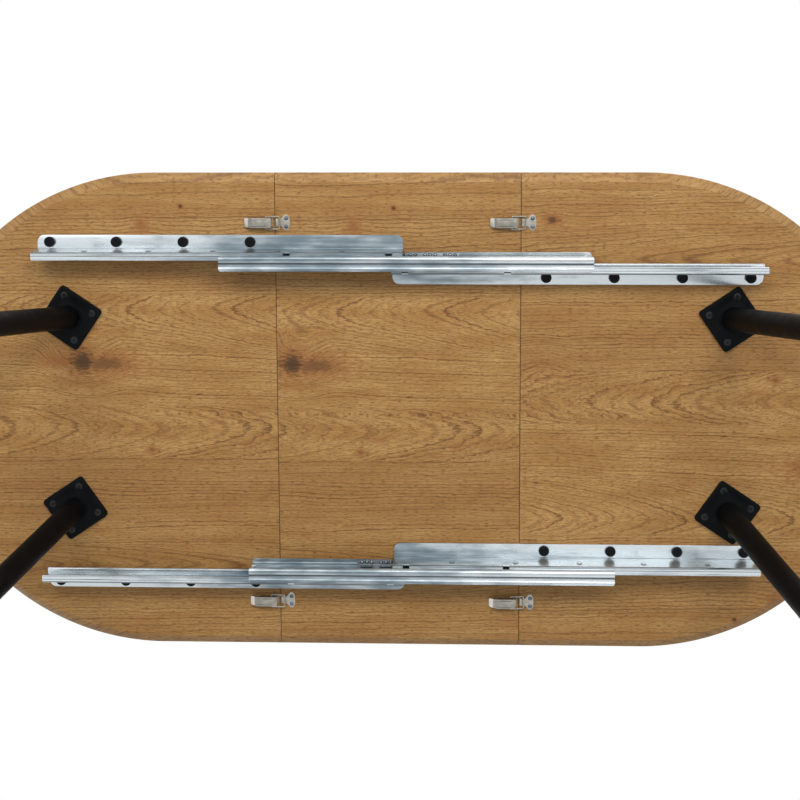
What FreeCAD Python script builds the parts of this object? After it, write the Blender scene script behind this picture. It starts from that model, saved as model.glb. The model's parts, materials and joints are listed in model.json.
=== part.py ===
import FreeCAD, Part
import math
import os
import re

import Sketcher

# Extending dining table: a top split across the middle, a loose insert leaf between its two halves,
# ball-bearing slides and toggle latches underneath, and four splayed tube legs.
#
# Frame: millimetres, +X along the length, +Y to the back, +Z up. The origin is on the floor under the
# middle of the table. The table is modelled extended, with the leaf in place and the latches closed.

doc = FreeCAD.newDocument("ExtendingTable")
V = FreeCAD.Vector

# ---------------------------------------------------------------------------------------------
# Driving dimensions
# ---------------------------------------------------------------------------------------------

SIZES = {
    # top
    "top_length": 1600, "top_width": 800, "top_thick": 18, "table_height": 750, "leaf_length": 400,
    "seam_gap": 0.4, "bevel_width": 14.5, "bevel_rise": 10, "edge_arris": 1,
    # legs: plate centre, the way each leg leans, plate, tube and glide
    "leg_inset_x": 257.5, "leg_inset_y": 238, "leg_turn_angle": 34.3, "leg_splay": 14, "plate_side": 80, "plate_thick": 5,
    "plate_corner": 5.5, "plate_hole_inset": 13, "tube_dia": 38, "tube_wall": 2, "weld_width": 2.5,
    "weld_drop": 2.5, "glide_sole": 4, "glide_plug": 22, "glide_clear": 0.2,
    # leg screws and the threaded sleeves that take all machine screws
    "leg_screw_dia": 6, "leg_screw_head": 12, "leg_screw_cone": 3, "leg_screw_reach": 10,
    "leg_socket": 4, "leg_socket_deep": 2, "sleeve_dia": 8.8, "sleeve_deep": 12,
    # slides: section, measured from the slide's mid-plane (side) and from the underside (drop)
    "slide_inset": 140.9, "slide_seat": 0.3, "rail_length": 600, "rail_overrun": 9, "rail_sheet": 2,
    "rail_half": 17.6, "rail_flange": 40.4, "rail_lip_reach": 10, "flange_corner": 12,
    "bend_radius": 1, "gusset_first": 75, "gusset_pitch": 107, "gusset_count": 5, "gusset_leg": 5,
    "gusset_width": 6, "slot_near": 22, "slot_far": 186, "slot_length": 8, "slot_height": 3,
    "mid_length": 600, "mid_sheet": 1.5, "mid_gap": 0.05, "mid_half": 12.9, "mid_top": 3,
    "mid_bottom": 53, "mid_return": 1.6, "mid_front_x": 14, "mid_back_x": 54,
    "mid_corner": 5, "mid_bend": 0.6, "stop_inset": 4, "stop_height": 15,
    "stop_reach": 9, "rivet_dia": 5, "rivet_head": 9, "rivet_thick": 1, "rivet_pitch": 132, "rivet_count": 5,
    # balls and their cages
    "ball_dia": 4.4, "ball_side": 8.6, "ball_clear": 0.05, "ball_pitch": 8.1, "ball_inset": 7,
    "group_pitch": 32.2, "group_count": 10, "window_length": 19, "window_height": 26,
    "cage_length": 320, "cage_sheet": 0.8, "cage_side": 3.2, "cage_reach": 8.4, "cage_hole_clear": 0.15,
    "cage_front_outer_x": -60, "cage_front_inner_x": 88, "cage_back_outer_x": -50, "cage_back_inner_x": 91,
    # slide bolts through the flange
    "bolt_side": 29, "bolt_first": 20, "bolt_pitch": 110, "bolt_count": 4, "bolt_dia": 6,
    "bolt_head": 17.5, "bolt_head_thick": 3.6, "bolt_head_bevel": 1, "bolt_socket": 4,
    "bolt_socket_deep": 2, "bolt_reach": 10,
    # toggle latches: x from the seam, drop from the underside
    "latch_inset": 80, "latch_sheet": 1.2, "latch_base_width": 13.2, "latch_base_near": 4,
    "latch_base_length": 36, "latch_pin_x": 8, "latch_pin_drop": 7, "latch_pin_dia": 3,
    "latch_pin_clear": 0.05, "latch_pin_head": 4.6, "latch_pin_cap": 0.6, "latch_ear_radius": 3.2,
    "lever_width": 15.8, "lever_sheet": 1, "lever_top_clear": 0.3, "lever_side": 7.9,
    "lever_length": 36, "lever_nose": 1, "lever_slope": 4, "lever_dip": 2, "lever_wall_end": 10,
    "lever_tail": 9.4, "lever_tail_drop": 3.4, "lever_tail_overlap": 1, "lever_tail_width": 15.2,
    "lever_tail_corner": 3, "panel_near": 4, "panel_length": 20, "panel_width": 10.4, "panel_rise": 0.4,
    "bail_wire": 2, "bail_bend": 1.8, "bail_width": 22.7,
    "bail_pivot_x": 14.8, "bail_pivot_drop": 5.6, "bail_bar_x": 7.3, "bail_end_gap": 0.4,
    "catch_width": 26.5, "catch_neck": 12, "catch_near": 1.2, "catch_far": 24.4, "catch_lip_near": 4.7,
    "catch_ear_near": 16.4, "catch_ear_far": 20.4, "catch_bow": 0.9, "catch_bow_width": 17,
    "catch_lip_width": 11, "catch_lip_drop": 4.2, "catch_screw_x": 18.6, "catch_screw_pitch": 13.4,
    "catch_ear_corner": 2.4, "catch_neck_end": 10.5, "catch_far_corner": 6, "base_screw_near": 18, "base_screw_far": 31,
    "wood_screw_dia": 3.5, "wood_screw_head": 6.8, "wood_screw_dome": 1.6, "wood_screw_reach": 13,
}

# Sizes worked out from the driving dimensions.
DERIVED = {
    "under_z": "table_height - top_thick",
    "end_radius": "top_width / 2",
    "end_x": "top_length / 2 - end_radius",
    "seam_x": "leaf_length / 2",
    "leg_x": "top_length / 2 - leg_inset_x",
    "leg_y": "end_radius - leg_inset_y",
    "slide_y": "end_radius - slide_inset",
    "latch_y": "end_radius - latch_inset",
    "rail_start": "rail_length - rail_overrun",
    # the lips of the outer rails are one ball away from the lips of the middle channels
    "ball_top_drop": "mid_top + mid_sheet + ball_clear + ball_dia / 2",
    "ball_low_drop": "mid_bottom - mid_sheet - ball_clear - ball_dia / 2",
    "rail_lip_high": "ball_top_drop + ball_dia / 2 + ball_clear",
    "rail_lip_low": "ball_low_drop - ball_dia / 2 - ball_clear",
    "plate_hole_off": "plate_side / 2 - plate_hole_inset",
    "leg_height": "under_z",
    "lever_top": "latch_pin_drop + latch_ear_radius + lever_top_clear + lever_sheet",
}

sheet = doc.addObject("Spreadsheet::Sheet", "Sizes")


def sized(expression):
    """The expression with every dimension's name pointing at the sheet."""
    return re.sub(r"\b[a-z][a-z0-9]*(?:_[a-z0-9]+)+\b", lambda m: "Sizes." + m.group(0), str(expression))


def fill_sheet():
    """Writes the driving dimensions as plain numbers and the derived ones as formulas."""
    for row, (name, value) in enumerate(SIZES.items(), start=1):
        sheet.set(f"A{row}", name)
        sheet.set(f"B{row}", str(value))
        sheet.setAlias(f"B{row}", name)
    for row, (name, formula) in enumerate(DERIVED.items(), start=len(SIZES) + 2):
        sheet.set(f"A{row}", name)
        sheet.set(f"B{row}", "=" + formula)
        sheet.setAlias(f"B{row}", name)
    doc.recompute()


fill_sheet()
probe = doc.addObject("Part::Vertex", "probe")


def value(expression):
    """The number that an expression of dimensions gives now."""
    return float(probe.evalExpression(sized(expression)))


# ---------------------------------------------------------------------------------------------
# Small builders
# ---------------------------------------------------------------------------------------------


def bind(obj, **expressions):
    """Binds plain properties of an object to expressions of dimensions."""
    for prop, expression in expressions.items():
        obj.setExpression(prop, sized(expression))
    return obj


def place(obj, x="0", y="0", z="0", turn=None, axis=(0, 0, 1)):
    """Gives an object its Placement, with an optional turn in degrees about an axis through its origin."""
    if turn is not None:
        obj.Placement = FreeCAD.Placement(V(0, 0, 0), FreeCAD.Rotation(V(*axis), 1))
        obj.setExpression("Placement.Rotation.Angle", sized(turn))
    for letter, expression in zip("xyz", (x, y, z)):
        obj.setExpression(f"Placement.Base.{letter}", sized(expression))
    return obj


def box(name, corner, extent):
    """A box from its low corner and its extent, both as expressions."""
    solid = doc.addObject("Part::Box", name)
    bind(solid, Length=extent[0], Width=extent[1], Height=extent[2])
    return place(solid, *corner)


def rod(name, radius, height, start=("0", "0", "0"), turn=None, axis=(1, 0, 0)):
    """A cylinder along +Z, turned about an axis through the middle of its starting end."""
    solid = doc.addObject("Part::Cylinder", name)
    bind(solid, Radius=radius, Height=height)
    return place(solid, *start, turn=turn, axis=axis)


def cone(name, radius_low, radius_high, height, start=("0", "0", "0")):
    """A cone along +Z."""
    solid = doc.addObject("Part::Cone", name)
    bind(solid, Radius1=radius_low, Radius2=radius_high, Height=height)
    return place(solid, *start)


def fuse(name, *solids):
    """One solid from several that touch."""
    result = doc.addObject("Part::MultiFuse", name)
    result.Shapes = list(solids)
    return result


def cut(name, base, *tools):
    """The base less the tools."""
    result = doc.addObject("Part::Cut", name)
    result.Base = base
    result.Tool = tools[0] if len(tools) == 1 else fuse(name + "_tools", *tools)
    return result


def common(name, *solids):
    """What several solids share."""
    result = doc.addObject("Part::MultiCommon", name)
    result.Shapes = list(solids)
    return result


def sketch_on(body, name, plane, offset="0"):
    """A sketch on one of the body's own origin planes, raised along that plane's normal."""
    sketch = body.newObject("Sketcher::SketchObject", name)
    origin_plane = [f for f in body.Origin.OriginFeatures if f.Role == plane][0]
    sketch.AttachmentSupport = [(origin_plane, "")]
    sketch.MapMode = "FlatFace"
    sketch.setExpression("AttachmentOffset.Base.z", sized(offset))
    return sketch


def hold(sketch, geometry, point, x, y):
    """Ties a point of a sketch to its two coordinates."""
    for kind, across, expression in (("DistanceX", -2, x), ("DistanceY", -1, y)):
        if str(expression) == "0":
            sketch.addConstraint(Sketcher.Constraint("PointOnObject", geometry, point, across))
            continue
        where = value(expression)
        index = sketch.addConstraint(Sketcher.Constraint(kind, -1, 1, geometry, point, where))
        sketch.setExpression(f"Constraints[{index}]", sized(expression))


def outline(sketch, corners):
    """A closed polygon with each corner tied to its coordinates."""
    points = [V(value(x), value(y), 0) for x, y in corners]
    first = sketch.GeometryCount
    count = len(points)
    for i in range(count):
        sketch.addGeometry(Part.LineSegment(points[i], points[(i + 1) % count]))
    for i in range(count):
        joined = Sketcher.Constraint("Coincident", first + i, 2, first + (i + 1) % count, 1)
        sketch.addConstraint(joined)
        hold(sketch, first + i, 1, *corners[i])


def circles(sketch, radius, centres):
    """Circles of one radius on the given centres."""
    for x, y in centres:
        centre = V(value(x), value(y), 0)
        index = sketch.addGeometry(Part.Circle(centre, V(0, 0, 1), value(radius)))
        hold(sketch, index, 3, x, y)
        size = sketch.addConstraint(Sketcher.Constraint("Radius", index, value(radius)))
        sketch.setExpression(f"Constraints[{size}]", sized(radius))


def pad(body, sketch, length, midplane=False):
    """Extrudes a sketch."""
    feature = body.newObject("PartDesign::Pad", sketch.Name + "_pad")
    feature.Profile = sketch
    feature.SideType = "Symmetric" if midplane else "One side"
    bind(feature, Length=length)
    return feature


def pocket(body, sketch, depth=None, reverse=False):
    """Cuts a sketch to a depth, or right through both ways."""
    feature = body.newObject("PartDesign::Pocket", sketch.Name + "_pocket")
    feature.Profile = sketch
    feature.Reversed = reverse
    if depth is None:
        feature.Type = "ThroughAll"
        feature.SideType = "Symmetric"
    else:
        bind(feature, Length=depth)
    return feature


def upright_edges(shape, test):
    """Names of the straight edges along Z whose middle point passes the test."""
    names = []
    for number, edge in enumerate(shape.Edges, start=1):
        ends = [vertex.Point for vertex in edge.Vertexes]
        if len(ends) != 2:
            continue
        along_z = math.hypot(ends[0].x - ends[1].x, ends[0].y - ends[1].y) < 1e-6
        middle = (ends[0] + ends[1]) * 0.5
        if along_z and test(middle):
            names.append(f"Edge{number}")
    return names


def round_uprights(body, radius, test):
    """Rounds the chosen upright edges of the body as it stands."""
    doc.recompute()
    base = body.Tip
    feature = body.newObject("PartDesign::Fillet", body.Name + "_round")
    feature.Base = (base, upright_edges(base.Shape, test))
    bind(feature, Radius=radius)
    return feature


def round_bends(body, name, radius, corners):
    """Rounds the edges along X that pass through the given corners of the section."""
    doc.recompute()
    base = body.Tip
    wanted = [(value(y), value(z)) for y, z in corners]
    names = []
    for number, edge in enumerate(base.Shape.Edges, start=1):
        ends = [vertex.Point for vertex in edge.Vertexes]
        if len(ends) != 2 or abs(ends[0].x - ends[1].x) < 1:
            continue
        if any(max(math.hypot(end.y - y, end.z - z) for end in ends) < 1e-6 for y, z in wanted):
            names.append(f"Edge{number}")
    feature = body.newObject("PartDesign::Fillet", f"{body.Name}_{name}")
    feature.Base = (base, names)
    bind(feature, Radius=radius)
    return feature


def grouped(label, master, spots):
    """One node that holds a copy of the master at every spot; a spot is a dict for place()."""
    links = []
    for number, spot in enumerate(spots, start=1):
        link = doc.addObject("App::Link", f"{label}_{number}")
        link.LinkedObject = master
        links.append(place(link, **spot))
    group = doc.addObject("Part::Compound", label)
    group.Links = links
    return group


nodes = []


def node(obj, label):
    """Marks an object as a finished sub-part under its own label."""
    obj.Label = label
    nodes.append(obj)
    return obj


# The four corners: name, sign along X, sign along Y.
CORNERS = (("front_left", -1, -1), ("front_right", 1, -1), ("back_left", -1, 1), ("back_right", 1, 1))


def corner_turn(sx, sy):
    """The way a corner's leg leans, as an angle about Z."""
    return f"{sy} * leg_turn_angle" if sx > 0 else f"180 - {sy} * leg_turn_angle"


# ---------------------------------------------------------------------------------------------
# Top: two half-oval ends and the insert leaf, with a wide bevel under the outer edge
# ---------------------------------------------------------------------------------------------


def bevelled_section(half=False):
    """Section across the board from its underside (0) up, over the whole width or one half."""
    low = "0" if half else "-end_radius + bevel_width"
    arris = "top_thick - edge_arris"
    corners = [(low, "0"), ("end_radius - bevel_width", "0"), ("end_radius", "bevel_rise"),
               ("end_radius", arris), ("end_radius - edge_arris", "top_thick")]
    if half:
        return corners + [("0", "top_thick")]
    return corners + [("-end_radius + edge_arris", "top_thick"), ("-end_radius", arris),
                      ("-end_radius", "bevel_rise")]


def rail_bolt_spots(side):
    """Places of the slide bolts of one half of the table (side is the sign along X)."""
    # the outer flange belongs to the left half and the inner one to the right half
    across = "slide_y + bolt_side" if side < 0 else "slide_y - bolt_side"
    spots = []
    for sy in (-1, 1):
        for i in range(int(value("bolt_count"))):
            along = f"{side} * (rail_start - bolt_first - {i} * bolt_pitch)"
            spots.append((along, f"{sy} * ({across})"))
    return spots


def plate_hole_spots(sx, sy):
    """Places of the four screws of one leg plate."""
    spots = []
    for ox, oy in ((1, 1), (1, -1), (-1, 1), (-1, -1)):
        turn = corner_turn(sx, sy)
        east = f"{sx} * leg_x + plate_hole_off * ({ox} * cos({turn}) - {oy} * sin({turn}))"
        north = f"{sy} * leg_y + plate_hole_off * ({ox} * sin({turn}) + {oy} * cos({turn}))"
        spots.append((east, north))
    return spots


def catch_screw_spots(seam):
    """Screws of the catches to the right of one seam (-1 left seam, 1 right seam)."""
    return [(f"{seam} * seam_x + catch_screw_x", f"{sy} * latch_y + {dy} * catch_screw_pitch / 2")
            for sy in (-1, 1) for dy in (-1, 1)]


def base_screw_spots(seam):
    """Screws of the latch bases to the left of one seam."""
    return [(f"{seam} * seam_x - {which}", f"{sy} * latch_y")
            for sy in (-1, 1) for which in ("base_screw_near", "base_screw_far")]


def board(label, sleeves, screws, side=0):
    """A board of the top; side is the sign of its round end along X, or 0 for the leaf."""
    body = doc.addObject("PartDesign::Body", label)
    section = sketch_on(body, label + "_section", "YZ_Plane",
                        "-seam_x + seam_gap / 2" if side == 0 else
                        ("seam_x + seam_gap / 2" if side > 0 else "-end_x"))
    outline(section, bevelled_section())
    length = "leaf_length - seam_gap" if side == 0 else "end_x - seam_x - seam_gap / 2"
    pad(body, section, length)
    if side:
        # half the section, turned through half a circle, makes the round end
        half = sketch_on(body, label + "_end_section", "YZ_Plane", f"{side} * end_x")
        outline(half, bevelled_section(half=True))
        turned = body.newObject("PartDesign::Revolution", label + "_end")
        turned.Profile = half
        turned.ReferenceAxis = (half, ["V_Axis"])
        turned.Angle = 180
        turned.Reversed = side > 0
    for name, radius, depth, centres in (("sleeve", "sleeve_dia / 2", "sleeve_deep", sleeves),
                                         ("screw", "wood_screw_dia / 2", "wood_screw_reach", screws)):
        if centres:
            holes = sketch_on(body, f"{label}_{name}_holes", "XY_Plane")
            circles(holes, radius, centres)
            pocket(body, holes, depth, reverse=True)
    place(body, z="under_z")
    return node(body, label)


def sleeve_spots(side):
    """Every threaded sleeve in one half of the top."""
    spots = rail_bolt_spots(side)
    for _, sx, sy in CORNERS:
        if sx == side:
            spots += plate_hole_spots(sx, sy)
    return spots


def make_top():
    """The three boards and the threaded sleeves sunk in the two ends."""
    board("left_top", sleeve_spots(-1), base_screw_spots(-1), side=-1)
    board("leaf_top", [], catch_screw_spots(-1) + base_screw_spots(1))
    board("right_top", sleeve_spots(1), catch_screw_spots(1), side=1)
    sleeve = cut("sleeve_master", rod("sleeve_outside", "sleeve_dia / 2", "sleeve_deep"),
                 rod("sleeve_bore", "bolt_dia / 2", "sleeve_deep"))
    for side, name in ((-1, "left"), (1, "right")):
        spots = [dict(x=x, y=y, z="under_z") for x, y in sleeve_spots(side)]
        node(grouped(f"threaded_sleeves_{name}", sleeve, spots), f"threaded_sleeves_{name}")


# ---------------------------------------------------------------------------------------------
# Legs: in each leg's own frame +X is the way it leans and z = 0 is the underside of the top
# ---------------------------------------------------------------------------------------------


def plate_hole_offsets():
    """The four screw places in a leg's own frame."""
    return [(f"{ox} * plate_hole_off", f"{oy} * plate_hole_off") for ox in (-1, 1) for oy in (-1, 1)]


def leaning_rod(name, radius):
    """A long rod through the plate's centre along the leg, past both of its ends."""
    solid = rod(name, radius, "leg_height / cos(leg_splay) + 2 * tube_dia")
    # the rod starts above the plate and points down and outwards
    return place(solid, x="-tube_dia * tan(leg_splay)", z="tube_dia", turn="180 - leg_splay", axis=(0, 1, 0))


def slab(name, high, low):
    """The layer between two drops below the underside, wide enough for a whole leg."""
    reach = "(leg_height + plate_side)"
    return box(name, (f"-{reach} / 2", f"-{reach} / 2", f"-({low})"), (reach, reach, f"({low}) - ({high})"))


def make_leg_masters():
    """Plate with its weld bead, tube, glide and countersunk screw."""
    body = doc.addObject("PartDesign::Body", "plate_blank")
    square = sketch_on(body, "plate_outline", "XY_Plane", "-plate_thick")
    half = "plate_side / 2"
    outline(square, [(f"-{half}", f"-{half}"), (half, f"-{half}"), (half, half), (f"-{half}", half)])
    pad(body, square, "plate_thick")
    round_uprights(body, "plate_corner", lambda middle: True)
    sinks = []
    for number, (x, y) in enumerate(plate_hole_offsets()):
        sinks.append(rod(f"plate_hole_{number}", "leg_screw_dia / 2", "plate_thick", (x, y, "-plate_thick")))
        sinks.append(cone(f"plate_sink_{number}", "leg_screw_head / 2", "leg_screw_dia / 2",
                          "leg_screw_cone", (x, y, "-plate_thick")))
    drilled = cut("plate_drilled", body, *sinks)
    bead = common("plate_bead", leaning_rod("bead_rod", "tube_dia / 2 + weld_width"),
                  slab("bead_slab", "plate_thick", "plate_thick + weld_drop"))
    bead_open = cut("plate_bead_open", bead, leaning_rod("bead_bore", "tube_dia / 2"))
    plate = fuse("plate_master", drilled, bead_open)

    wall = cut("tube_wall_rod", leaning_rod("tube_outside", "tube_dia / 2"),
               leaning_rod("tube_inside", "tube_dia / 2 - tube_wall"))
    tube = common("tube_master", wall, slab("tube_slab", "plate_thick", "leg_height - glide_sole"))

    sole = common("glide_sole_disc", leaning_rod("sole_rod", "tube_dia / 2"),
                  slab("sole_slab", "leg_height - glide_sole", "leg_height"))
    plug = common("glide_plug_rod", leaning_rod("plug_rod", "tube_dia / 2 - tube_wall - glide_clear"),
                  slab("plug_slab", "leg_height - glide_sole - glide_plug", "leg_height - glide_sole"))
    glide = fuse("glide_master", sole, plug)

    shank = rod("leg_screw_shank", "leg_screw_dia / 2", "plate_thick + leg_screw_reach",
                ("0", "0", "-plate_thick"))
    head = cone("leg_screw_cone_head", "leg_screw_head / 2", "leg_screw_dia / 2", "leg_screw_cone",
                ("0", "0", "-plate_thick"))
    socket = doc.addObject("Part::Prism", "leg_screw_socket")
    socket.Polygon = 6
    bind(socket, Circumradius="leg_socket / sqrt(3)", Height="leg_socket_deep")
    place(socket, z="-plate_thick")
    screw = cut("leg_screw_master", fuse("leg_screw_solid", shank, head), socket)
    return plate, tube, glide, screw


def make_legs():
    """One plate, tube and glide at each corner, and the screws of each half as one group."""
    plate, tube, glide, screw = make_leg_masters()
    for name, sx, sy in CORNERS:
        spot = dict(x=f"{sx} * leg_x", y=f"{sy} * leg_y", z="under_z", turn=corner_turn(sx, sy))
        node(grouped(f"leg_plate_{name}", plate, [spot]), f"leg_plate_{name}")
        node(grouped(f"leg_tube_{name}", tube, [spot]), f"leg_tube_{name}")
    for side, name in ((-1, "left"), (1, "right")):
        screws = []
        feet = []
        for _, sx, sy in CORNERS:
            if sx == side:
                screws += [dict(x=x, y=y, z="under_z") for x, y in plate_hole_spots(sx, sy)]
                feet.append(dict(x=f"{sx} * leg_x", y=f"{sy} * leg_y", z="under_z", turn=corner_turn(sx, sy)))
        node(grouped(f"leg_screws_{name}", screw, screws), f"leg_screws_{name}")
        node(grouped(f"leg_glides_{name}", glide, feet), f"leg_glides_{name}")


# ---------------------------------------------------------------------------------------------
# Slides: outer rails, back-to-back middle channels, ball cages. In a slide's own frame +Y is the
# side that the piece faces, y = 0 is the slide's mid-plane and z = 0 is the underside of the top
# ---------------------------------------------------------------------------------------------


def outer_rail(label, hand):
    """Flange, web and two lips of one outer rail, from its outer end along +X; hand mirrors it in Y."""
    web_in = "rail_half - rail_sheet"
    lip_in = "rail_half - rail_sheet - rail_lip_reach"
    profile = [("rail_flange", "-slide_seat"), ("rail_flange", "-slide_seat - rail_sheet"),
               ("rail_half", "-slide_seat - rail_sheet"), ("rail_half", "-rail_lip_low"),
               (lip_in, "-rail_lip_low"), (lip_in, "-rail_lip_low + rail_sheet"),
               (web_in, "-rail_lip_low + rail_sheet"), (web_in, "-rail_lip_high - rail_sheet"),
               (lip_in, "-rail_lip_high - rail_sheet"), (lip_in, "-rail_lip_high"),
               (web_in, "-rail_lip_high"), (web_in, "-slide_seat")]
    body = doc.addObject("PartDesign::Body", label)
    section = sketch_on(body, label + "_section", "YZ_Plane")
    outline(section, [(f"{hand} * ({y})", z) for y, z in profile])
    pad(body, section, "rail_length")
    edge = abs(value("rail_flange"))
    round_uprights(body, "flange_corner", lambda middle: abs(abs(middle.y) - edge) < 1e-6)
    mirrored = [(f"{hand} * ({y})", z) for y, z in ((web_in, "-slide_seat"), ("rail_half", "-rail_lip_low"))]
    round_bends(body, "outer_bends", "bend_radius + rail_sheet", mirrored)
    inner = (("rail_half", "-slide_seat - rail_sheet"), (web_in, "-rail_lip_low + rail_sheet"),
             (web_in, "-rail_lip_high"), (web_in, "-rail_lip_high - rail_sheet"))
    round_bends(body, "inner_bends", "bend_radius", [(f"{hand} * ({y})", z) for y, z in inner])
    holes = sketch_on(body, label + "_holes", "XY_Plane", "-slide_seat")
    centres = [(f"bolt_first + {i} * bolt_pitch", f"{hand} * bolt_side")
               for i in range(int(value("bolt_count")))]
    circles(holes, "bolt_dia / 2", centres)
    pocket(body, holes, "rail_sheet * 2")
    rail_gussets(body, label, hand)
    rail_slots(body, label, hand)
    return body


def rail_gussets(body, label, hand):
    """Small pressed gussets that stiffen the bend between flange and web."""
    # the section of a gusset is drawn across the rail and padded along it, once for each gusset
    low = "-slide_seat - rail_sheet"
    for i in range(int(value("gusset_count"))):
        start = f"gusset_first + {i} * gusset_pitch - gusset_width / 2"
        section = sketch_on(body, f"{label}_gusset_{i}", "YZ_Plane", start)
        outline(section, [(f"{hand} * (rail_half - rail_sheet / 2)", f"{low} + rail_sheet / 2"),
                          (f"{hand} * (rail_half + gusset_leg)", f"{low} + rail_sheet / 2"),
                          (f"{hand} * (rail_half + gusset_leg)", low),
                          (f"{hand} * rail_half", f"{low} - gusset_leg"),
                          (f"{hand} * (rail_half - rail_sheet / 2)", f"{low} - gusset_leg")])
        pad(body, section, "gusset_width")


def rail_slots(body, label, hand):
    """Two slots through the web, just above the lower lip, near the rail's inner end."""
    slots = sketch_on(body, label + "_slots", "XZ_Plane")
    low = "-rail_lip_low + rail_sheet + bend_radius"
    for which in ("slot_near", "slot_far"):
        start = f"rail_length - {which} - slot_length / 2"
        outline(slots, [(start, low), (f"{start} + slot_length", low),
                        (f"{start} + slot_length", f"{low} + slot_height"), (start, f"{low} + slot_height")])
    pocket(body, slots)


def middle_channel(label, hand):
    """One C channel of the middle member, along X about its own centre."""
    tip = "mid_half"
    profile = [("mid_gap", "-mid_top"), (tip, "-mid_top"), (tip, "-mid_top - mid_sheet - mid_return"),
               (f"{tip} - mid_sheet", "-mid_top - mid_sheet - mid_return"),
               (f"{tip} - mid_sheet", "-mid_top - mid_sheet"),
               ("mid_gap + mid_sheet", "-mid_top - mid_sheet"),
               ("mid_gap + mid_sheet", "-mid_bottom + mid_sheet"),
               (f"{tip} - mid_sheet", "-mid_bottom + mid_sheet"),
               (f"{tip} - mid_sheet", "-mid_bottom + mid_sheet + mid_return"),
               (tip, "-mid_bottom + mid_sheet + mid_return"), (tip, "-mid_bottom"),
               ("mid_gap", "-mid_bottom")]
    body = doc.addObject("PartDesign::Body", label)
    section = sketch_on(body, label + "_section", "YZ_Plane")
    outline(section, [(f"{hand} * ({y})", z) for y, z in profile])
    pad(body, section, "mid_length", midplane=True)
    outer = (("mid_gap", "-mid_top"), ("mid_gap", "-mid_bottom"), (tip, "-mid_top"), (tip, "-mid_bottom"))
    round_bends(body, "outer_bends", "mid_bend + mid_sheet", [(f"{hand} * ({y})", z) for y, z in outer])
    inner = (("mid_gap + mid_sheet", "-mid_top - mid_sheet"), ("mid_gap + mid_sheet", "-mid_bottom + mid_sheet"),
             (f"{tip} - mid_sheet", "-mid_top - mid_sheet"), (f"{tip} - mid_sheet", "-mid_bottom + mid_sheet"))
    round_bends(body, "inner_bends", "mid_bend", [(f"{hand} * ({y})", z) for y, z in inner])
    corners = sketch_on(body, label + "_corners", "XY_Plane")
    for end in ("-", ""):
        outline(corners, [(f"{end}mid_length / 2", f"{hand} * (mid_half - mid_corner)"),
                          (f"{end}mid_length / 2", f"{hand} * mid_half"),
                          (f"{end}(mid_length / 2 - mid_corner)", f"{hand} * mid_half")])
    pocket(body, corners)
    middle_stops(body, label, hand)
    holes = sketch_on(body, label + "_rivet_holes", "XZ_Plane")
    centres = [(x, "-(mid_top + mid_bottom) / 2") for x in rivet_places()]
    circles(holes, "rivet_dia / 2", centres)
    pocket(body, holes)
    return body


def middle_stops(body, label, hand):
    """A bent stop tab at each end of a middle channel, standing out from its web."""
    for name, end in (("low", -1), ("high", 1)):
        start = f"{end} * (mid_length / 2 - stop_inset) - mid_sheet / 2"
        section = sketch_on(body, f"{label}_stop_{name}", "YZ_Plane", start)
        centre = "-(mid_top + mid_bottom) / 2"
        near = "mid_gap + mid_sheet / 2"
        far = "mid_gap + mid_sheet + stop_reach"
        outline(section, [(f"{hand} * ({near})", f"{centre} - stop_height / 2"),
                          (f"{hand} * ({far})", f"{centre} - stop_height / 2"),
                          (f"{hand} * ({far})", f"{centre} + stop_height / 2"),
                          (f"{hand} * ({near})", f"{centre} + stop_height / 2")])
        pad(body, section, "mid_sheet")


def rivet_places():
    """Places of the rivets along a middle member."""
    count = int(value("rivet_count"))
    return [f"{i - (count - 1) / 2} * rivet_pitch" for i in range(count)]


def ball_places():
    """Places of the balls along a cage: a group of three at each end."""
    places = []
    for end in (-1, 1):
        for i in range(3):
            places.append(f"{end} * (cage_length / 2 - ball_inset - {i} * ball_pitch)")
    return places


def ball_cage(label, hand):
    """The C strip that keeps the balls apart, along X about its own centre."""
    near = "cage_side"
    far = "cage_side + cage_reach"
    top = "-ball_top_drop + cage_sheet / 2"
    low = "-ball_low_drop - cage_sheet / 2"
    profile = [(near, top), (far, top), (far, f"{top} - cage_sheet"), (f"{near} + cage_sheet", f"{top} - cage_sheet"),
               (f"{near} + cage_sheet", f"{low} + cage_sheet"), (far, f"{low} + cage_sheet"), (far, low), (near, low)]
    body = doc.addObject("PartDesign::Body", label)
    section = sketch_on(body, label + "_section", "YZ_Plane")
    outline(section, [(f"{hand} * ({y})", z) for y, z in profile])
    pad(body, section, "cage_length", midplane=True)
    holes = sketch_on(body, label + "_ball_holes", "XY_Plane")
    circles(holes, "ball_dia / 2 + cage_hole_clear", [(x, f"{hand} * ball_side") for x in ball_places()])
    pocket(body, holes)
    windows = sketch_on(body, label + "_windows", "XZ_Plane")
    count = int(value("group_count"))
    middle = "-(ball_top_drop + ball_low_drop) / 2"
    for i in range(count):
        centre = f"{i - (count - 1) / 2} * group_pitch"
        outline(windows, [(f"{centre} + {sx} * window_length / 2", f"{middle} + {sz} * window_height / 2")
                          for sx, sz in ((-1, -1), (1, -1), (1, 1), (-1, 1))])
    pocket(body, windows)
    return body


# The four outer rails: slide, end of the table it is bolted to, signs of that end and of its facing.
RAILS = (("front", "left", -1, -1), ("front", "right", 1, 1), ("back", "left", -1, 1), ("back", "right", 1, -1))


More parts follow.
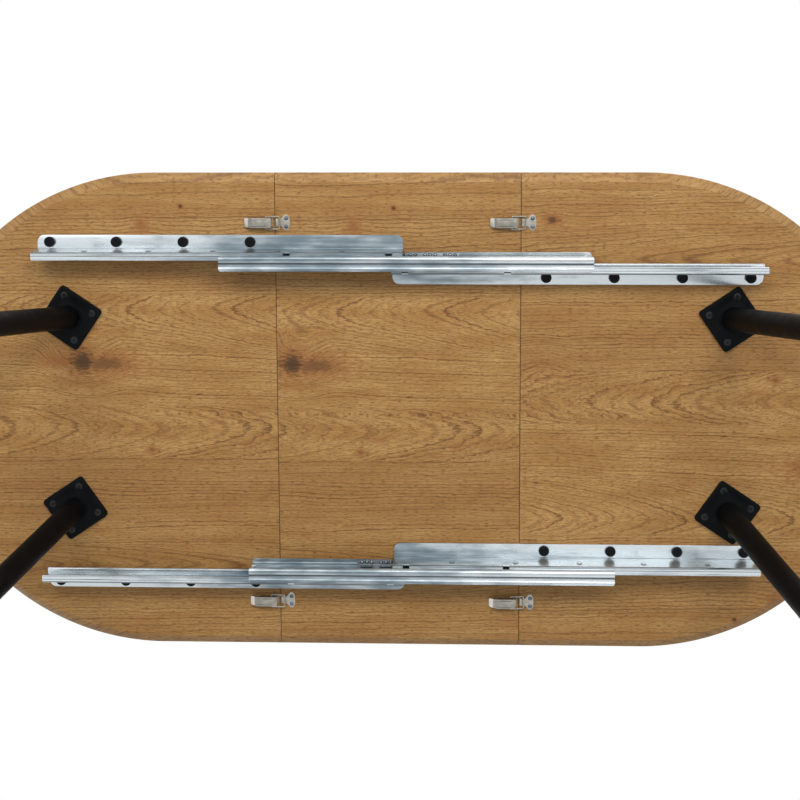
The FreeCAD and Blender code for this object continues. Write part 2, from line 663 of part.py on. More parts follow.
def make_slides():
    """Rails, middle members with their rivets, cages, balls and bolts."""
    ball = doc.addObject("Part::Sphere", "ball_master")
    bind(ball, Radius="ball_dia / 2")
    for slide, end, sx, facing in RAILS:
        slide_sign = -1 if slide == "front" else 1
        # a rail that starts at the right end is turned half round, which turns its facing too
        hand = facing if sx < 0 else -facing
        rail = outer_rail(f"slide_rail_{slide}_{end}", hand)
        place(rail, x=f"{sx} * rail_start", y=f"{slide_sign} * slide_y", z="under_z",
              turn="0" if sx < 0 else "180")
        node(rail, rail.Name)
        centre = f"mid_{slide}_x"
        channel = middle_channel(f"slide_middle_{slide}_{end}", facing)
        place(channel, x=centre, y=f"{slide_sign} * slide_y", z="under_z")
        node(channel, channel.Name)
        row = "outer" if end == "left" else "inner"
        cage_centre = f"cage_{slide}_{row}_x"
        cage = ball_cage(f"ball_cage_{slide}_{end}", facing)
        place(cage, x=cage_centre, y=f"{slide_sign} * slide_y", z="under_z")
        node(cage, cage.Name)
        spots = []
        for x in ball_places():
            for drop in ("ball_top_drop", "ball_low_drop"):
                spots.append(dict(x=f"{cage_centre} + {x}", z=f"under_z - {drop}",
                                  y=f"{slide_sign} * slide_y + {facing} * ball_side"))
        node(grouped(f"balls_{slide}_{end}", ball, spots), f"balls_{slide}_{end}")
    make_rivets()
    make_rail_bolts()


def make_rivets():
    """Rivets that hold each pair of middle channels back to back."""
    width = "2 * (mid_gap + mid_sheet)"
    start = "mid_gap + mid_sheet"
    shank = rod("rivet_shank", "rivet_dia / 2", f"{width}", ("0", start, "0"), turn="90")
    heads = []
    for name, y in (("near", f"{start} + rivet_thick"), ("far", f"-({start})")):
        heads.append(rod(f"rivet_head_{name}", "rivet_head / 2", "rivet_thick", ("0", y, "0"), turn="90"))
    rivet = fuse("rivet_master", shank, *heads)
    for slide, sign in (("front", -1), ("back", 1)):
        spots = [dict(x=f"mid_{slide}_x + {x}", y=f"{sign} * slide_y", z="under_z - (mid_top + mid_bottom) / 2")
                 for x in rivet_places()]
        node(grouped(f"slide_rivets_{slide}", rivet, spots), f"slide_rivets_{slide}")


def make_rail_bolts():
    """Low-headed socket bolts through the rail flanges, one group for each half of the table."""
    head_low = "-slide_seat - rail_sheet - bolt_head_thick"
    edge = cone("bolt_head_edge", "bolt_head / 2 - bolt_head_bevel", "bolt_head / 2", "bolt_head_bevel",
                ("0", "0", head_low))
    head = rod("bolt_head_disc", "bolt_head / 2", "bolt_head_thick - bolt_head_bevel",
               ("0", "0", f"{head_low} + bolt_head_bevel"))
    shank = rod("bolt_shank", "bolt_dia / 2", "slide_seat + rail_sheet + bolt_reach",
                ("0", "0", "-slide_seat - rail_sheet"))
    socket = doc.addObject("Part::Prism", "bolt_socket_hex")
    socket.Polygon = 6
    bind(socket, Circumradius="bolt_socket / sqrt(3)", Height="bolt_socket_deep")
    place(socket, z=head_low)
    bolt = cut("bolt_master", fuse("bolt_solid", edge, head, shank), socket)
    for side, name in ((-1, "left"), (1, "right")):
        spots = [dict(x=x, y=y, z="under_z") for x, y in rail_bolt_spots(side)]
        node(grouped(f"slide_bolts_{name}", bolt, spots), f"slide_bolts_{name}")


# ---------------------------------------------------------------------------------------------
# Toggle latches: in a latch's own frame x = 0 is the seam, with the lever on the -X side and the
# catch on the +X side, y = 0 is the latch's middle and z = 0 is the underside of the top
# ---------------------------------------------------------------------------------------------


def latch_base():
    """Base plate with two ears that carry the lever's pin."""
    width = "latch_base_width"
    far = "-latch_base_near - latch_base_length"
    plate = box("base_plate", (far, f"-{width} / 2", "-latch_sheet"), ("latch_base_length", width, "latch_sheet"))
    pieces = [plate]
    for name, y in (("front", f"-{width} / 2"), ("back", f"{width} / 2 - latch_sheet")):
        foot = box(f"base_ear_{name}", ("-latch_pin_x - latch_ear_radius", y, "-latch_pin_drop"),
                   ("2 * latch_ear_radius", "latch_sheet", "latch_pin_drop"))
        eye = rod(f"base_eye_{name}", "latch_ear_radius", "latch_sheet",
                  ("-latch_pin_x", f"{y} + latch_sheet", "-latch_pin_drop"), turn="90")
        pieces += [foot, eye]
    tools = [rod("base_pin_hole", "latch_pin_dia / 2", width,
                 ("-latch_pin_x", f"{width} / 2", "-latch_pin_drop"), turn="90")]
    for which in ("near", "far"):
        tools.append(rod(f"base_hole_{which}", "wood_screw_dia / 2", "latch_sheet",
                         (f"-base_screw_{which}", "0", "-latch_sheet")))
    return cut("latch_base_master", fuse("latch_base_solid", *pieces), *tools)


def latch_lever():
    """Folded lever: a top wall with a raised panel, two side walls and a bent tail."""
    body = doc.addObject("PartDesign::Body", "lever_blank")
    side = sketch_on(body, "lever_profile", "XZ_Plane")
    near = "-latch_pin_x + latch_ear_radius"
    far = "-latch_pin_x - lever_length + latch_ear_radius"
    low = "-lever_top"
    outline(side, [(near, f"{low} + lever_side"), (near, f"{low} + lever_nose"), (f"{near} - lever_nose", low),
                   (f"{far} + lever_slope", low), (far, f"{low} + lever_dip"),
                   (far, f"{low} + lever_dip + lever_sheet"), (f"{far} + lever_wall_end", f"{low} + lever_side")])
    pad(body, side, "lever_width", midplane=True)
    hollow = box("lever_hollow", (f"{far} - lever_nose", "-lever_width / 2 + lever_sheet", f"{low} + lever_sheet"),
                 ("lever_length + lever_slope", "lever_width - 2 * lever_sheet", "lever_top"))
    shell = cut("lever_shell", body, hollow)
    panel = box("lever_panel", (f"{near} - panel_near - panel_length", "-panel_width / 2", f"{low} - panel_rise"),
                ("panel_length", "panel_width", "panel_rise"))
    pin_hole = rod("lever_pin_hole", "latch_pin_dia / 2 + latch_pin_clear", "2 * lever_width",
                   ("-latch_pin_x", "lever_width", "-latch_pin_drop"), turn="90")
    bail_hole = rod("lever_bail_hole", "bail_wire / 2 + latch_pin_clear", "2 * lever_width",
                    ("-bail_pivot_x", "lever_width", "-bail_pivot_drop"), turn="90")
    return cut("latch_lever_master", fuse("latch_lever_solid", shell, panel, lever_tail(far)), pin_hole, bail_hole)


def lever_tail(far):
    """Tail of the lever, bent towards the board, with rounded end corners."""
    body = doc.addObject("PartDesign::Body", "lever_tail_blank")
    tail = sketch_on(body, "lever_tail_profile", "XZ_Plane")
    start = f"{far} + lever_slope + lever_tail_overlap"
    outline(tail, [(start, "-lever_top"), (start, "-lever_top + lever_sheet"),
                   (far, "-lever_top + lever_dip + lever_sheet"),
                   (f"{far} - lever_tail", "-lever_tail_drop + lever_sheet"),
                   (f"{far} - lever_tail", "-lever_tail_drop"), (far, "-lever_top + lever_dip"),
                   (f"{far} + lever_slope", "-lever_top")])
    pad(body, tail, "lever_tail_width", midplane=True)
    plan = doc.addObject("PartDesign::Body", "lever_tail_plan")
    edge = sketch_on(plan, "lever_tail_outline", "XY_Plane", "-lever_top")
    half = "lever_tail_width / 2"
    outline(edge, [(f"{far} - lever_tail", f"-{half}"), (start, f"-{half}"), (start, half),
                   (f"{far} - lever_tail", half)])
    pad(plan, edge, "lever_top")
    end = value(f"{far} - lever_tail")
    round_uprights(plan, "lever_tail_corner", lambda middle: abs(middle.x - end) < 1e-6)
    return common("lever_tail", body, plan)


def latch_pin():
    """Pivot pin with a low head outside each wall of the lever."""
    outer = "lever_width / 2 + latch_pin_clear"
    shank = rod("latch_pin_shank", "latch_pin_dia / 2", f"2 * ({outer})",
                ("-latch_pin_x", outer, "-latch_pin_drop"), turn="90")
    heads = []
    for name, y in (("back", f"{outer} + latch_pin_cap"), ("front", f"-({outer})")):
        heads.append(rod(f"latch_pin_head_{name}", "latch_pin_head / 2", "latch_pin_cap",
                         ("-latch_pin_x", y, "-latch_pin_drop"), turn="90"))
    return fuse("latch_pin_master", shank, *heads)


def latch_bail(name, bar_drop, end_reach):
    """Wire bail: a bar behind the catch's lip, two arms and two ends turned in at the lever."""
    radius = value("bail_wire / 2")
    side = value("bail_width / 2 - bail_wire / 2")
    bar = V(value("bail_bar_x"), 0, -value(bar_drop))
    pivot = V(-value("bail_pivot_x"), 0, -value("bail_pivot_drop"))
    inner = value(end_reach)
    corners = [V(pivot.x, inner, pivot.z), V(pivot.x, side, pivot.z), V(bar.x, side, bar.z),
               V(bar.x, -side, bar.z), V(pivot.x, -side, pivot.z), V(pivot.x, -inner, pivot.z)]
    edges = rounded_path(corners, value("bail_bend"))
    path = Part.Wire(edges)
    circle = Part.Circle(corners[0], V(0, 1, 0), radius).toShape()
    shape = path.makePipeShell([Part.Wire(circle)], True, True)
    feature = doc.addObject("Part::Feature", name)
    feature.Shape = shape
    return feature


def rounded_path(corners, radius):
    """Straight runs through the corners, joined by tangent arcs of one radius."""
    edges = []
    start = corners[0]
    for before, corner, after in zip(corners, corners[1:], corners[2:]):
        into = (before - corner).normalize()
        out = (after - corner).normalize()
        half_angle = into.getAngle(out) / 2
        setback = radius / math.tan(half_angle)
        arc_start = corner + into * setback
        arc_end = corner + out * setback
        middle = (into + out).normalize()
        arc_middle = corner + middle * (radius / math.sin(half_angle) - radius)
        edges.append(Part.LineSegment(start, arc_start).toShape())
        edges.append(Part.Arc(arc_start, arc_middle, arc_end).toShape())
        start = arc_end
    edges.append(Part.LineSegment(start, corners[-1]).toShape())
    return edges


def latch_catch():
    """Catch plate with a narrow neck, a wide screwed end and a lip that hooks the bail's bar."""
    body = doc.addObject("PartDesign::Body", "catch_blank")
    flat = sketch_on(body, "catch_outline", "XY_Plane", "-latch_sheet")
    neck = "catch_neck / 2"
    wide = "catch_width / 2"
    bow = "catch_bow_width / 2"
    half = [("catch_near", neck), ("catch_neck_end", neck), ("catch_ear_near", wide), ("catch_ear_far", wide),
            ("catch_far - catch_bow", bow), ("catch_far", f"{bow} - catch_far_corner")]
    outline(flat, half + [(x, f"-({y})") for x, y in reversed(half)])
    pad(body, flat, "latch_sheet")
    ear = value(wide)
    round_uprights(body, "catch_ear_corner", lambda middle: abs(abs(middle.y) - ear) < 1e-6)
    bend = value("catch_neck_end")
    round_uprights(body, "catch_ear_corner", lambda middle: abs(middle.x - bend) < 1e-6)
    lip = box("catch_lip", ("catch_lip_near", "-catch_lip_width / 2", "-catch_lip_drop"),
              ("latch_sheet", "catch_lip_width", "catch_lip_drop"))
    tools = []
    for name, dy in (("front", "-"), ("back", "")):
        tools.append(rod(f"catch_hole_{name}", "wood_screw_dia / 2", "latch_sheet",
                         ("catch_screw_x", f"{dy}catch_screw_pitch / 2", "-latch_sheet")))
    return cut("latch_catch_master", fuse("latch_catch_solid", body, lip), *tools)


def wood_screw():
    """Round-headed wood screw under a sheet of the latch."""
    dome = doc.addObject("Part::Sphere", "wood_screw_ball")
    ball_radius = "((wood_screw_head / 2)^2 + wood_screw_dome^2) / (2 * wood_screw_dome)"
    bind(dome, Radius=ball_radius)
    place(dome, z=f"-latch_sheet - wood_screw_dome + {ball_radius}")
    cap = common("wood_screw_cap", dome, box("wood_screw_layer",
                 ("-wood_screw_head", "-wood_screw_head", "-latch_sheet - wood_screw_dome"),
                 ("2 * wood_screw_head", "2 * wood_screw_head", "wood_screw_dome")))
    shank = rod("wood_screw_shank", "wood_screw_dia / 2", "latch_sheet + wood_screw_reach",
                ("0", "0", "-latch_sheet"))
    return fuse("wood_screw_master", cap, shank)


def make_latches():
    """Four latches: one at each side of each seam."""
    base = latch_base()
    lever = latch_lever()
    catch = latch_catch()
    pin = latch_pin()
    # at the left seam the bail hangs in the lever and its bar lies just under the catch's lip; at
    # the right seam the bar lies behind the lip and its ends stop just outside the pin's heads
    under_lip = "catch_lip_drop + bail_end_gap + bail_wire / 2"
    behind_lip = "latch_sheet + bail_end_gap + bail_wire / 2"
    held_by_lever = latch_bail("bail_master_left", under_lip, "lever_width / 2 - lever_sheet")
    beside_pin = "lever_width / 2 + latch_pin_clear + latch_pin_cap + bail_end_gap"
    held_by_catch = latch_bail("bail_master_right", behind_lip, beside_pin)
    for seam, seam_name, bail in ((-1, "left", held_by_lever), (1, "right", held_by_catch)):
        for sy, side in ((-1, "front"), (1, "back")):
            spot = dict(x=f"{seam} * seam_x", y=f"{sy} * latch_y", z="under_z")
            name = f"{side}_{seam_name}"
            for kind, master in (("base", base), ("lever", lever), ("pin", pin), ("bail", bail), ("catch", catch)):
                node(grouped(f"latch_{kind}_{name}", master, [spot]), f"latch_{kind}_{name}")
    screw = wood_screw()
    for name, spots in (("left", base_screw_spots(-1)), ("leaf", catch_screw_spots(-1) + base_screw_spots(1)),
                        ("right", catch_screw_spots(1))):
        node(grouped(f"latch_screws_{name}", screw, [dict(x=x, y=y, z="under_z") for x, y in spots]),
             f"latch_screws_{name}")


# ---------------------------------------------------------------------------------------------
# Build, check and write
# ---------------------------------------------------------------------------------------------

make_top()
make_legs()
make_slides()
make_latches()
doc.recompute()

faults = [o.Name for o in doc.Objects if "Invalid" in o.State or "Error" in o.State]
for part in nodes:
    if part.Shape.isNull() or not part.Shape.isValid() or not part.Shape.Solids:
        faults.append(part.Label)
if faults:
    raise RuntimeError("not built: " + ", ".join(sorted(set(faults))))

os.makedirs("parts", exist_ok=True)
for part in nodes:
    part.Shape.exportStep(f"parts/{part.Label}.step")
print(f"{len(nodes)} nodes written")
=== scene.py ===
"""Extending oval dining table: finishes, softened edges, full ball rows and a plain studio.

Metres throughout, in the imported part's own frame: +X along the table, +Y to the back, +Z up.
"""

import json
import logging
import math
from dataclasses import dataclass
from enum import Enum
from typing import Any, Callable, Sequence

import bmesh
import bpy
from mathutils import Matrix, Vector

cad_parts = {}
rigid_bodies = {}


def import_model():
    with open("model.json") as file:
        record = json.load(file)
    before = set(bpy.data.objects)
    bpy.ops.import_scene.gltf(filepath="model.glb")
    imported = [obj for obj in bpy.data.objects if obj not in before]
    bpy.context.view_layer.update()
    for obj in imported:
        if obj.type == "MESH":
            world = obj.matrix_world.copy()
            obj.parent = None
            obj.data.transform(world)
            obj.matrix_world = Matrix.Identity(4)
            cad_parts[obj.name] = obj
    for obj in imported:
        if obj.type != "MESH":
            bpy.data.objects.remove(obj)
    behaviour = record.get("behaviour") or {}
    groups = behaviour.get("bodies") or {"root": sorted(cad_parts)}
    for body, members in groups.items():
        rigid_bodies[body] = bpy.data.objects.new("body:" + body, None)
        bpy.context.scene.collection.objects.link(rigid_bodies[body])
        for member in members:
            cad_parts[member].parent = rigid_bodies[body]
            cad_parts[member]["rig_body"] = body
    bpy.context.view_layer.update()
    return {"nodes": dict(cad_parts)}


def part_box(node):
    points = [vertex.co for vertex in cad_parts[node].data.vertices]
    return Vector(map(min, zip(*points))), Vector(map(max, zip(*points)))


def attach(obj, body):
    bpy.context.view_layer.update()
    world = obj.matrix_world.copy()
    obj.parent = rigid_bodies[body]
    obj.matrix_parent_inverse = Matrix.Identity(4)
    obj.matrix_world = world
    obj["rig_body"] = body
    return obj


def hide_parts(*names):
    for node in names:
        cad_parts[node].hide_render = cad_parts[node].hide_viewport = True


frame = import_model()
log = logging.getLogger("table")

Tree = bpy.types.NodeTree
Socket = bpy.types.NodeSocket

MM = 0.001
# sizes that several sub-assemblies share
UNDER = 732 * MM
END_RADIUS = 400 * MM
END_X = 400 * MM
SEAM_X = 200 * MM
SLIDE_Y = 259.1 * MM
LATCH_ROW = 320 * MM

# the nodes that come most often, and settings that go with them
AXES = "ShaderNodeSeparateXYZ"
RANGE = "ShaderNodeMapRange"
EASED = {"interpolation_type": "SMOOTHSTEP"}
MIX = "ShaderNodeMix"
COLOURS = {"data_type": "RGBA", "out": 2}
BUMP = "ShaderNodeBump"


class Named(Enum):
    """A choice whose name in small letters is part of the nodes' names."""

    @property
    def word(self) -> str:
        """Its name as the nodes have it."""
        return self.name.lower()


class Side(Named):
    """The two long sides of the table, with their sign along Y."""

    FRONT = -1
    BACK = 1


class End(Named):
    """The two halves of the table, with their sign along X."""

    LEFT = -1
    RIGHT = 1


# ---------------------------------------------------------------------------------------------
# Small tools
# ---------------------------------------------------------------------------------------------


def linear(hex_colour: str) -> tuple[float, float, float, float]:
    """Turns an sRGB hex colour into Blender's linear colour.

    Args:
        hex_colour: Six hex digits after a #.

    Returns:
        Red, green, blue and an alpha of 1.
    """
    channels = []
    for start in (1, 3, 5):
        share = int(hex_colour[start:start + 2], 16) / 255
        channels.append(share / 12.92 if share <= 0.04045 else ((share + 0.055) / 1.055) ** 2.4)
    return channels[0], channels[1], channels[2], 1.0


def add(tree: Tree, kind: str, *inputs: Any, out: Any = 0, **settings: Any) -> Any:
    """Adds one node with its settings and links.

    Args:
        tree: The tree that gets the node.
        kind: The node's type name; the name of an operation, in capitals, stands for a Math node with it.
        inputs: What its inputs get in turn, or one dictionary by name or number: a value, a hex colour
            or another node's output.
        out: The output that is wanted, by name or number.
        settings: The node's own properties.

    Returns:
        That output, whose node property gives the node, or None where it has no outputs.
    """
    if kind.isupper():
        kind, settings["operation"] = "ShaderNodeMath", kind
    node = tree.nodes.new(kind)
    for name, value in settings.items():
        setattr(node, name, value)
    given = inputs[0] if inputs and isinstance(inputs[0], dict) else dict(enumerate(inputs))
    for key, value in given.items():
        if isinstance(value, Socket):
            tree.links.new(value, node.inputs[key])
        else:
            node.inputs[key].default_value = linear(value) if isinstance(value, str) else value
    return node.outputs[out] if len(node.outputs) else None


def mesh_piece(name: str, mesh: bpy.types.Mesh) -> bpy.types.Object:
    """Links a mesh to the scene as an object at the origin.

    Args:
        name: Name of the object.
        mesh: Its mesh.

    Returns:
        The object.
    """
    piece = bpy.data.objects.new(name, mesh)
    bpy.context.scene.collection.objects.link(piece)
    return piece


def plain_mesh(name: str, shape: bmesh.types.BMesh, sharp_from: float) -> bpy.types.Mesh:
    """Turns a shape, which is freed, into a mesh shaded smooth.

    Args:
        name: Name of the mesh.
        shape: The shape.
        sharp_from: Edges stay sharp from this angle in degrees.

    Returns:
        The mesh.
    """
    mesh = bpy.data.meshes.new(name)
    shape.to_mesh(mesh)
    shape.free()
    mesh.polygons.foreach_set("use_smooth", [True] * len(mesh.polygons))
    mesh.set_sharp_from_angle(angle=math.radians(sharp_from))
    return mesh


def circle(radius: float, height: float, turns: int) -> list[Vector]:
    """Points evenly round a level circle about the Z axis."""
    angles = [2 * math.pi * i / turns for i in range(turns)]
    return [Vector((radius * math.cos(angle), radius * math.sin(angle), height)) for angle in angles]


def shell(shape: bmesh.types.BMesh, rings: Sequence[Sequence[Any]],
          capped: bool = True) -> list[list[bmesh.types.BMVert]]:
    """Adds a closed surface through rings of points, its faces outwards.

    Args:
        shape: What it is added to.
        rings: Rings of equally many points, each joined to the next.
        capped: Whether the first and the last ring are closed off; else they are joined.

    Returns:
        The rings' new points.
    """
    rows = [[shape.verts.new(point) for point in ring] for ring in rings]
    for low, high in zip(rows, rows[1:] if capped else rows[1:] + rows[:1]):
        for i in range(len(low)):
            k = (i + 1) % len(low)
            shape.faces.new((low[i], low[k], high[k], high[i]))
    if capped:
        shape.faces.new(rows[0])
        shape.faces.new(rows[-1])
    bmesh.ops.recalc_face_normals(shape, faces=shape.faces)
    return rows


def shell_piece(name: str, rings: Sequence[Sequence[Any]], sharp_from: float,
                capped: bool = True) -> bpy.types.Object:
    """Makes a piece whose surface runs through rings of points.

    Args:
        name: Name of the piece.
        rings: The rings, as shell() takes them.
        sharp_from: Edges stay sharp from this angle in degrees.
        capped: Whether the first and the last ring are closed off.

    Returns:
        The piece.
    """
    shape = bmesh.new()
    shell(shape, rings, capped)
    return mesh_piece(name, plain_mesh(name, shape, sharp_from))


def round_edges(shape: bmesh.types.BMesh, sharp_from: float, width: float) -> None:
    """Rounds a shape's sharp edges.

    Args:
        shape: The shape.
        sharp_from: Edges sharper than this angle in degrees are rounded.
        width: Width of the rounding, in metres.
    """
    limit = math.radians(sharp_from)
    sharp = [edge for edge in shape.edges if edge.is_manifold and edge.calc_face_angle() > limit]
    bmesh.ops.bevel(shape, geom=sharp, offset=width, segments=2, profile=0.5, affect="EDGES",
                    clamp_overlap=True)


def baked(piece: bpy.types.Object) -> bpy.types.Object:
    """Turns an object with modifiers into one with a plain mesh.

    Args:
        piece: The object; it is removed.

    Returns:
        A new object of the same name at the origin.
    """
    bpy.context.view_layer.update()
    evaluated = piece.evaluated_get(bpy.context.evaluated_depsgraph_get())
    mesh = bpy.data.meshes.new_from_object(evaluated)
    mesh.transform(piece.matrix_world)
    # Set Material leaves an empty first slot
    if len(mesh.materials) > 1 and mesh.materials[0] is None:
        mesh.materials.pop(index=0)
    name = piece.name
    bpy.data.objects.remove(piece)
    return mesh_piece(name, mesh)


def settle(piece: bpy.types.Object, body: str, stands_for: Sequence[str] = ()) -> None:
    """Makes a finished piece ride on its body and hides the nodes it stands for.

    Args:
        piece: The piece.
        body: The body.
        stands_for: The CAD nodes that it replaces.
    """
    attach(piece, body)
    if stands_for:
        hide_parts(*stands_for)
    log.info("%s: %d faces, rides on %s", piece.name, len(piece.data.polygons), body)


def body_with(node: str) -> str:
    """The body that carries a CAD node."""
    return frame["nodes"][node]["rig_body"]


def dress(node: str, material: bpy.types.Material) -> None:
    """Gives a CAD node that stays as it is its material.

    Args:
        node: The node.
        material: Its finish.
    """
    materials = frame["nodes"][node].data.materials
    materials.clear()
    materials.append(material)


def softened(node: str, material: bpy.types.Material, width: float) -> None:
    """Puts a copy of a CAD node with its sharp edges rounded in the node's place.

    Args:
        node: The CAD node.
        material: Its finish.
        width: Width of the rounding, in metres.
    """
    shape = bmesh.new()
    shape.from_mesh(frame["nodes"][node].data)
    bmesh.ops.remove_doubles(shape, verts=shape.verts, dist=0.002 * MM)
    bmesh.ops.dissolve_limit(shape, angle_limit=math.radians(1.0), verts=shape.verts, edges=shape.edges)
    round_edges(shape, 40.0, width)
    piece = mesh_piece(node + "_soft", plain_mesh(node + "_soft", shape, 32.0))
    piece.data.materials.append(material)
    settle(piece, body_with(node), [node])


# ---------------------------------------------------------------------------------------------
# Finishes
# ---------------------------------------------------------------------------------------------


@dataclass(frozen=True)
class Finish:
    """A procedural surface with one Principled shader; each kind fills in paint()."""

    name: str

    def material(self) -> bpy.types.Material:
        """Builds the material, or finds the one built before.

        Returns:
            The material.
        """
        known = bpy.data.materials.get(self.name)
        if known:
            return known
        material = bpy.data.materials.new(self.name)
        material.use_nodes = True
        tree = material.node_tree
        tree.nodes.clear()
        inputs = self.paint(tree, add(tree, "ShaderNodeTexCoord", out="Object"))
        add(tree, "ShaderNodeOutputMaterial", {"Surface": add(tree, "ShaderNodeBsdfPrincipled", inputs)})
        return material

    def paint(self, tree: Tree, where: Socket) -> dict[str, Any]:
        """Adds the nodes of this finish.

        Args:
            tree: The material's tree.
            where: Object coordinates.

        Returns:
            What the shader's inputs get, by name.
        """
        raise NotImplementedError

    @staticmethod
    def grain(tree: Tree, where: Socket, size_mm: tuple[float, float, float], detail: float = 2.0,
              roughness: float = 0.5) -> Socket:
        """A noise pattern whose grains have a given size.

        Args:
            tree: The material's tree.
            where: Coordinates in metres.
            size_mm: Size of a grain along X, Y and Z, in millimetres.
            detail: Octaves of finer noise.
            roughness: Weight of the finer octaves.

        Returns:
            The pattern, from 0 to 1 about 0.5.
        """
        scale = tuple(1 / (size * MM) for size in size_mm)
        scaled = add(tree, "ShaderNodeVectorMath", where, scale, operation="MULTIPLY")
        settings = {"Vector": scaled, "Scale": 1.0, "Detail": detail, "Roughness": roughness}
        return add(tree, "ShaderNodeTexNoise", settings, out="Fac")


@dataclass(frozen=True)
class Figure:
    """One plank of the print, by its low edge in Y, its pith line, and how its rings run.

    lobes is the number of rings per metre along the grain, positive where the arches point to +X;
    spread is how many rings cross the plank from its pith line to half_width away; point is the power
    that makes the arches round (2) or pointed (1); waver is how jagged the rings are.
    """

    low: float
    pith: float
    half_width: float
    lobes: float
    spread: float
    tone: float
    point: float = 1.35
    waver: float = 0.55


@dataclass(frozen=True)
class Knot:
    """A knot of the print: its place, its reach, how dark it is and how many rings it pushes aside."""

    x: float
    y: float
    along: float
    across: float
    darkness: float
    push: float = 0.0


# Planks of the print from the front edge to the back, in metres.
PLANKS = (
    Figure(-0.420, -0.560, 0.10, 2.0, 9.0, 0.50),
    Figure(-0.342, -0.248, 0.06, -3.5, 7.0, 0.46),
    Figure(-0.269, -0.360, 0.09, 2.0, 10.0, 0.55),
    Figure(-0.199, -0.176, 0.052, -34.0, 6.5, 0.62, 1.55, 0.95),
    Figure(-0.108, -0.210, 0.08, -6.0, 8.5, 0.62),
    Figure(-0.012, 0.026, 0.050, 28.0, 5.0, 0.55, 1.80, 1.25),
    Figure(0.075, -0.100, 0.10, 1.6, 9.5, 0.42),
    Figure(0.188, 0.120, 0.060, 3.0, 7.0, 0.50),
    Figure(0.229, 0.262, 0.034, 13.0, 4.2, 0.44, 1.7, 0.45),
    Figure(0.312, 0.180, 0.09, 2.5, 9.0, 0.50),
)

KNOTS = (
    Knot(-0.5226, -0.0874, 0.040, 0.038, 1.0, 7.0),
    Knot(-0.484, -0.084, 0.085, 0.030, 0.86),
    Knot(-0.560, -0.088, 0.050, 0.022, 0.66),
    Knot(-0.355, -0.346, 0.008, 0.007, 1.0, 0.3),
    Knot(-0.285, -0.345, 0.014, 0.007, 0.40),
    Knot(-0.420, -0.315, 0.018, 0.018, 0.72, 0.4),
    Knot(-0.330, -0.0327, 0.015, 0.0022, 0.95),
    Knot(-0.252, 0.052, 0.013, 0.009, 0.42, 0.5),
    Knot(-0.300, 0.030, 0.012, 0.006, 0.25),
    Knot(-0.149, -0.348, 0.005, 0.004, 0.55, 0.2),
    Knot(-0.411, 0.062, 0.014, 0.010, 0.80, 0.5),
    Knot(-0.380, 0.041, 0.018, 0.008, 0.42),
    Knot(-0.402, 0.017, 0.011, 0.006, 0.38),
    Knot(-0.301, 0.015, 0.026, 0.004, 0.42),
    Knot(-0.046, 0.325, 0.022, 0.013, 0.95, 1.0),
    Knot(-0.025, 0.096, 0.032, 0.024, 0.20, 2.4),
)


